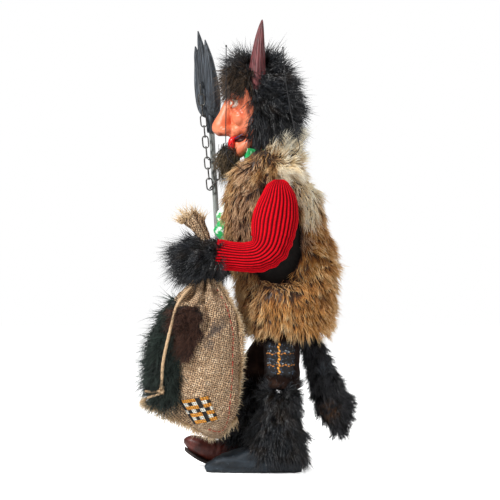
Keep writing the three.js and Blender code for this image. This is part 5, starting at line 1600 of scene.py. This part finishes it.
# Trousers
def make_trousers():
    browns = (0.3, 0x0E0806), (0.5, 0x1E120E), (0.72, 0x33221A)
    paint = mottled("trouser_cloth", 0.95, (20, 4), (0.9, 3, 0.35, 0.7), *browns, Specular_IOR_Level=0.1)
    for side, word, hip_y, knee_y in ((1, "left", 20.0, 23.0), (-1, "right", 14.0, -4.0)):
        rows = column(
            SHIN_X * side, (knee_y + 1, 97, 17, 18.5), (knee_y + 1, 104, 17.5, 19.5),
            (knee_y, 122, 17.6, 20.5),
            ((knee_y + hip_y) / 2 + 1, 140, 17.4, 20.5), (hip_y + 2, 158, 16, 19.5),
            (hip_y + 1, 178, 13, 15),
        )
        grid, out = loft(rows, 96, 12, 2.2, True)
        turn, run = turn_and_run(grid)
        folds = 1.3 * np.sin(6 * turn + 3 * run + side) * (1 - run)
        folds = folds + 0.9 * np.sin(26 * run + 2.5 * np.sin(2 * turn) + side) * bell(run - 0.25, 0.2)
        grid = swell(grid, out, folds + wobble(grid, 12, 51 + side) * 0.8)
        inner = grid[:40] - out[:40] * 2.0
        leg = grid_object("trouser_" + word, np.concatenate([inner[::-1], grid]), False)
        dress(leg, word + "_thigh", "trouser_cloth", paint, "trouser_leg_" + word)
    rows = column(
        0, (17, 143, 11, 19), (17, 150, 13, 24), (18, 166, 14, 27), (18, 184, 15, 28), (18, 192, 15, 27),
    )
    grid, out = loft(rows, 96, 10, 2.6, True)
    grid = swell(grid, out, wobble(grid, 13, 59) * 1.2)
    dress(grid_object("trouser_seat", grid), "torso", "trouser_cloth", paint, "pelvis_block")


def tweed_paint():
    """Dark cloth with threads of several colours, broken where they dive under it."""
    p = Paint("tweed_patch", 0.9)
    u, v = p.split(p.flat())
    colour = p.ramp(p.noise(9, 3), (0.35, 0x060505), (0.65, 0x181314))
    drift = p.times(p.work("SUBTRACT", p.noise(5, 2), 0.5), 1.0)
    breaks = p.noise(3.0, 2, 0.6)
    for across, along, pitch, first, wide, c, low in (
        (u, v, 7.6, 0.0, 0.34, 0x48617E, 0.5),
        (v, u, 8.4, 1.0, 0.3, 0x586C80, 0.52),
        (v, u, 16.0, 3.0, 0.36, 0xB4BCC0, 0.52),
        (u, v, 30.0, 1.5, 1.3, 0xE09A3E, 0.3),
        (v, u, 15.0, 5.0, 0.7, 0xC07A2C, 0.42),
    ):
        shifted = p.plus(p.plus(across, drift), 60.0 - first)
        off = p.work("SUBTRACT", p.work("MODULO", shifted, pitch), pitch / 2)
        dash = p.work("GREATER_THAN", p.work("SINE", p.times(along, 1.6)), -0.5)
        line = p.times(p.work("LESS_THAN", p.work("ABSOLUTE", off), wide), dash)
        colour = p.mix(p.times(line, p.work("GREATER_THAN", breaks, low)), colour, c)
    return p.colour(colour).bump(p.noise(1.1, 3), 0.5)


def make_knee_patch():
    """A patch of tweed on the near knee, bowed over the trouser leg, with a frayed edge."""
    rows = []
    for v in np.linspace(343, 375, 30):
        row = []
        for u in np.linspace(267, 294, 30):
            p = at(u, v, 48)
            y, z = p[1] + 0.9 * math.sin(v * 0.9), p[2] + 0.9 * math.sin(u * 0.8)
            bow = 18.4 * max(1 - abs((y - 22) / 20.5) ** 2.2, 0.0) ** (1 / 2.2)
            row.append([SHIN_X + bow + 1.0 + 1.2 * math.sin(z * 0.35 + y * 0.2) * 0.5, y, z])
        rows.append(row)
    grid = np.array(rows)
    rim = np.concatenate([grid[0], grid[1:, -1], grid[-1, ::-1][1:], grid[::-1, 0][1:-1]])
    patch = grid_object("front", grid[::-1], False, False)
    n = 700
    rng = np.random.default_rng(57)
    pick = rng.integers(0, len(rim), n)
    ways = rim[pick] - grid.mean((0, 1))
    ways[:, 0] = rng.uniform(0, 6, n)
    roots = rim[pick] + rng.normal(size=(n, 3)) * 0.4 - [0.3, 0, 0]
    look = {"widths": 0.35, "seed": 58, "bend": (0, 0, -0.2), "curl": 0.6}
    fray = strands("fray", roots, ways, rng.uniform(1.2, 3.4, n), **look)
    dress(join("knee_patch", [patch, fray]), "left_thigh", "trouser_cloth", tweed_paint())


# Feet
def make_hoof():
    p = Paint("hoof_paint", 0.6, Specular_IOR_Level=0.3)
    marks = p.noise(18, 4, 0.6, p.stretch(1, 0.5, 2))
    scuff = p.noise(3, 4, 0.7, p.stretch(1, 0.3, 1))
    colour = p.ramp(marks, (0.3, 0x12161A), (0.5, 0x222930), (0.7, 0x38424B))
    p.colour(p.mix(p.range(scuff, 0.6, 0.75, 0, 0.5), colour, 0x5C6770)).rough(marks, 0.48, 0.7)
    p.bump(p.plus(marks, p.times(scuff, 0.4)), 0.5)
    rows = column(
        SHIN_X, (-65, 3.5, 4, 3.5), (-61, 5, 8, 6), (-54, 7.4, 12, 8), (-44, 10, 15.5, 11),
        (-30, 12.4, 18.5, 13.5),
        (-14, 14.5, 20.5, 15.5), (4, 15.5, 21, 16.5), (24, 15.5, 20, 16.5), (38, 15.2, 17.5, 16),
        (45.5, 15, 12, 14.5),
    )
    grid, out = loft(rows, 96, 8, 2.7)
    dents = 0.35 * wobble(grid, 9, 81) + 0.25 * np.sin(grid[..., 1] * 0.55 + 2 * wobble(grid, 30, 82))
    grid = swell(grid, out, dents)
    grid[..., 2] = np.maximum(grid[..., 2], 0.0)
    dress(grid_object("hoof_carved", grid), "left_shin", "hoof_paint", p, "hoof")


def make_boot():
    """The leather boot, creased where it bends, and its sole."""
    p = Paint("boot_leather", 0.4)
    worn = p.noise(3, 4, 0.7)
    crease = p.noise(5, 3, 0.6, p.stretch(1, 2.2, 0.5))
    colour = p.ramp(p.noise(14, 4), (0.3, 0x2E100C), (0.5, 0x5A241C), (0.72, 0x7A3A2E))
    p.colour(p.mix(p.range(worn, 0.58, 0.75, 0, 0.4), colour, 0x2A1410))
    p.bump(p.plus(crease, p.times(worn, 0.3)), 0.7)
    rows = column(
        -SHIN_X, (-92, 29, 3, 2.5), (-89, 29, 7.5, 5.5), (-84, 28, 11.5, 8.5), (-77, 25, 14.5, 11),
        (-66, 20.5, 16, 12.3), (-50, 17, 17, 14), (-30, 18, 15.5, 16), (-8, 18.5, 15, 16.5),
        (2, 18, 13.5, 15),
        (6, 16.5, 9, 11),
    )
    grid, out = loft(rows, 96, 8, 2.4)
    bent = bell(grid[..., 1] + 50, 16) * clip(out[..., 2] + 0.4)
    creases = 1.3 * np.sin(grid[..., 1] * 0.85 + 1.5 * wobble(grid, 25, 84)) * bent
    grid = swell(grid, out, creases + 0.4 * wobble(grid, 12, 85))
    sole_top = np.interp(grid[..., 1], [-92, -84, -74, -62, -54, -40, 8], [22, 18, 12, 7, 5.2, 4.2, 4.2])
    grid[..., 2] = np.maximum(grid[..., 2], sole_top)
    dress(grid_object("boot_carved", grid), "right_shin", "boot_paint", p, "boot")
    browns = (0.3, 0x17100E), (0.6, 0x2E201C), (0.8, 0x4A3830)
    paint = mottled("sole_leather", 0.6, (5, 4), (2, 4, 0.3), *browns)
    ys = np.linspace(-91, 5.5, 70)
    lows = np.interp(ys, [-91, -84, -74, -62, -54, 6], [18.5, 13.5, 7.5, 2.6, 0.3, 0])
    halves = np.interp(ys, [-91, -88, -80, -66, -50, -20, -4, 5.5], [5, 10, 14, 16.8, 18, 16.5, 15.5, 12])
    section = ((-1, 0.8), (-0.97, 0), (0.97, 0), (1, 0.8), (1, 3.0), (0.97, 3.7), (-0.97, 3.7), (-1, 3.0))
    rows = [[[-SHIN_X + half * x, y, low + z] for x, z in section] for y, low, half in zip(ys, lows, halves)]
    dress(grid_object("sole_cut", np.array(rows)[:, ::-1]), "right_shin", "sole_leather", paint, "boot_sole")


# Strings
STRINGS = {
    "front": (
        [[31, -20, 346], [41, -34, 356], [46.5, -41, 370], [47, -41, 430], [47, -41, 487]],
        [47, -41, 488],
    ),
    "back": (
        [[29, 33, 362], [40, 42, 370], [46.5, 41.5, 380], [47, 35, 402], [47, 27, 447], [47, 23.8, 485]],
        [47, 23.8, 486],
    ),
}


def make_strings():
    """Two threads from the vest to their knots above the head."""
    paint = mottled("black_thread", 0.6, (2, 3), (0.6, 2, 0.05), (0.3, 0x050506), (0.7, 0x1C1C20))
    for word, (route, knot_at) in STRINGS.items():
        line = refine(route, 14)
        cord = dress(tube("thread_" + word, line, 0.5, 8), "torso", "thread", paint, "string_" + word)
        knot = dress(ellipsoid(knot_at, [1.1, 1.1, 1.3]), "torso", "thread", paint)
        knot.name = "thread_knot_" + word
        path = [tuple(p) for p in place(line)]
        place(route[0])


# Light and floor
def area_light(name, position, target, size, power):
    light = bpy.data.lights.new(name, "AREA")
    light.size, light.energy = size, power
    obj = bpy.data.objects.new(name, light)
    obj.location = position
    obj.rotation_euler = (Vector(target) - Vector(position)).to_track_quat("-Z", "Y").to_euler()
    bpy.context.scene.collection.objects.link(obj)


def make_world():
    """Soft light on the object, and white where the camera or glass sees it."""
    world = bpy.data.worlds.new("white")
    bpy.context.scene.world = world
    world.use_nodes = True
    tree = world.node_tree
    paths, level, seen = (tree.nodes.new("ShaderNode" + kind) for kind in ("LightPath", "MapRange", "Math"))
    seen.operation = "MAXIMUM"
    level.inputs["To Min"].default_value = 0.22
    level.inputs["To Max"].default_value = 1.0
    background = tree.nodes["Background"]
    background.inputs["Color"].default_value = (1, 1, 1, 1)
    for source, target in (
        (paths.outputs["Is Camera Ray"], seen.inputs[0]),
        (paths.outputs["Is Transmission Ray"], seen.inputs[1]),
        (seen.outputs[0], level.inputs["Value"]),
        (level.outputs[0], background.inputs["Strength"]),
    ):
        tree.links.new(source, target)


def make_floor():
    half, level = 4000, -0.2
    p = mottled("floor", 0.9, (60, 3), None, (0.4, 0xF4F4F3), (0.6, 0xF7F7F6))
    p.put("Emission Color", (1, 1, 1, 1))
    p.put("Emission Strength", p.times(p.add("ShaderNodeLightPath").outputs["Is Camera Ray"], 0.8))
    corners = np.array([[[x, y, level] for x in (-half, half)] for y in (-half, half)], float)
    floor = grid_object("floor", corners, False, False)
    paint_over(floor, p)


for side, word in SIDES:
    make_sleeve(side, word)
make_chain()
make_trident()
paint_nodes()
make_shirt()
make_trousers()
make_knee_patch()
make_hoof()
make_boot()
make_strings()
area_light("key", (1.35, -1.25, 1.6), (0, 0, 0.25), 0.28, 68)
area_light("fill", (1.7, 1.4, 0.7), (0, 0, 0.25), 1.6, 8)
area_light("rim", (-0.9, 1.5, 1.4), (0, 0, 0.3), 0.7, 22)
make_world()
make_floor()
bpy.context.scene.view_settings.view_transform = "Standard"
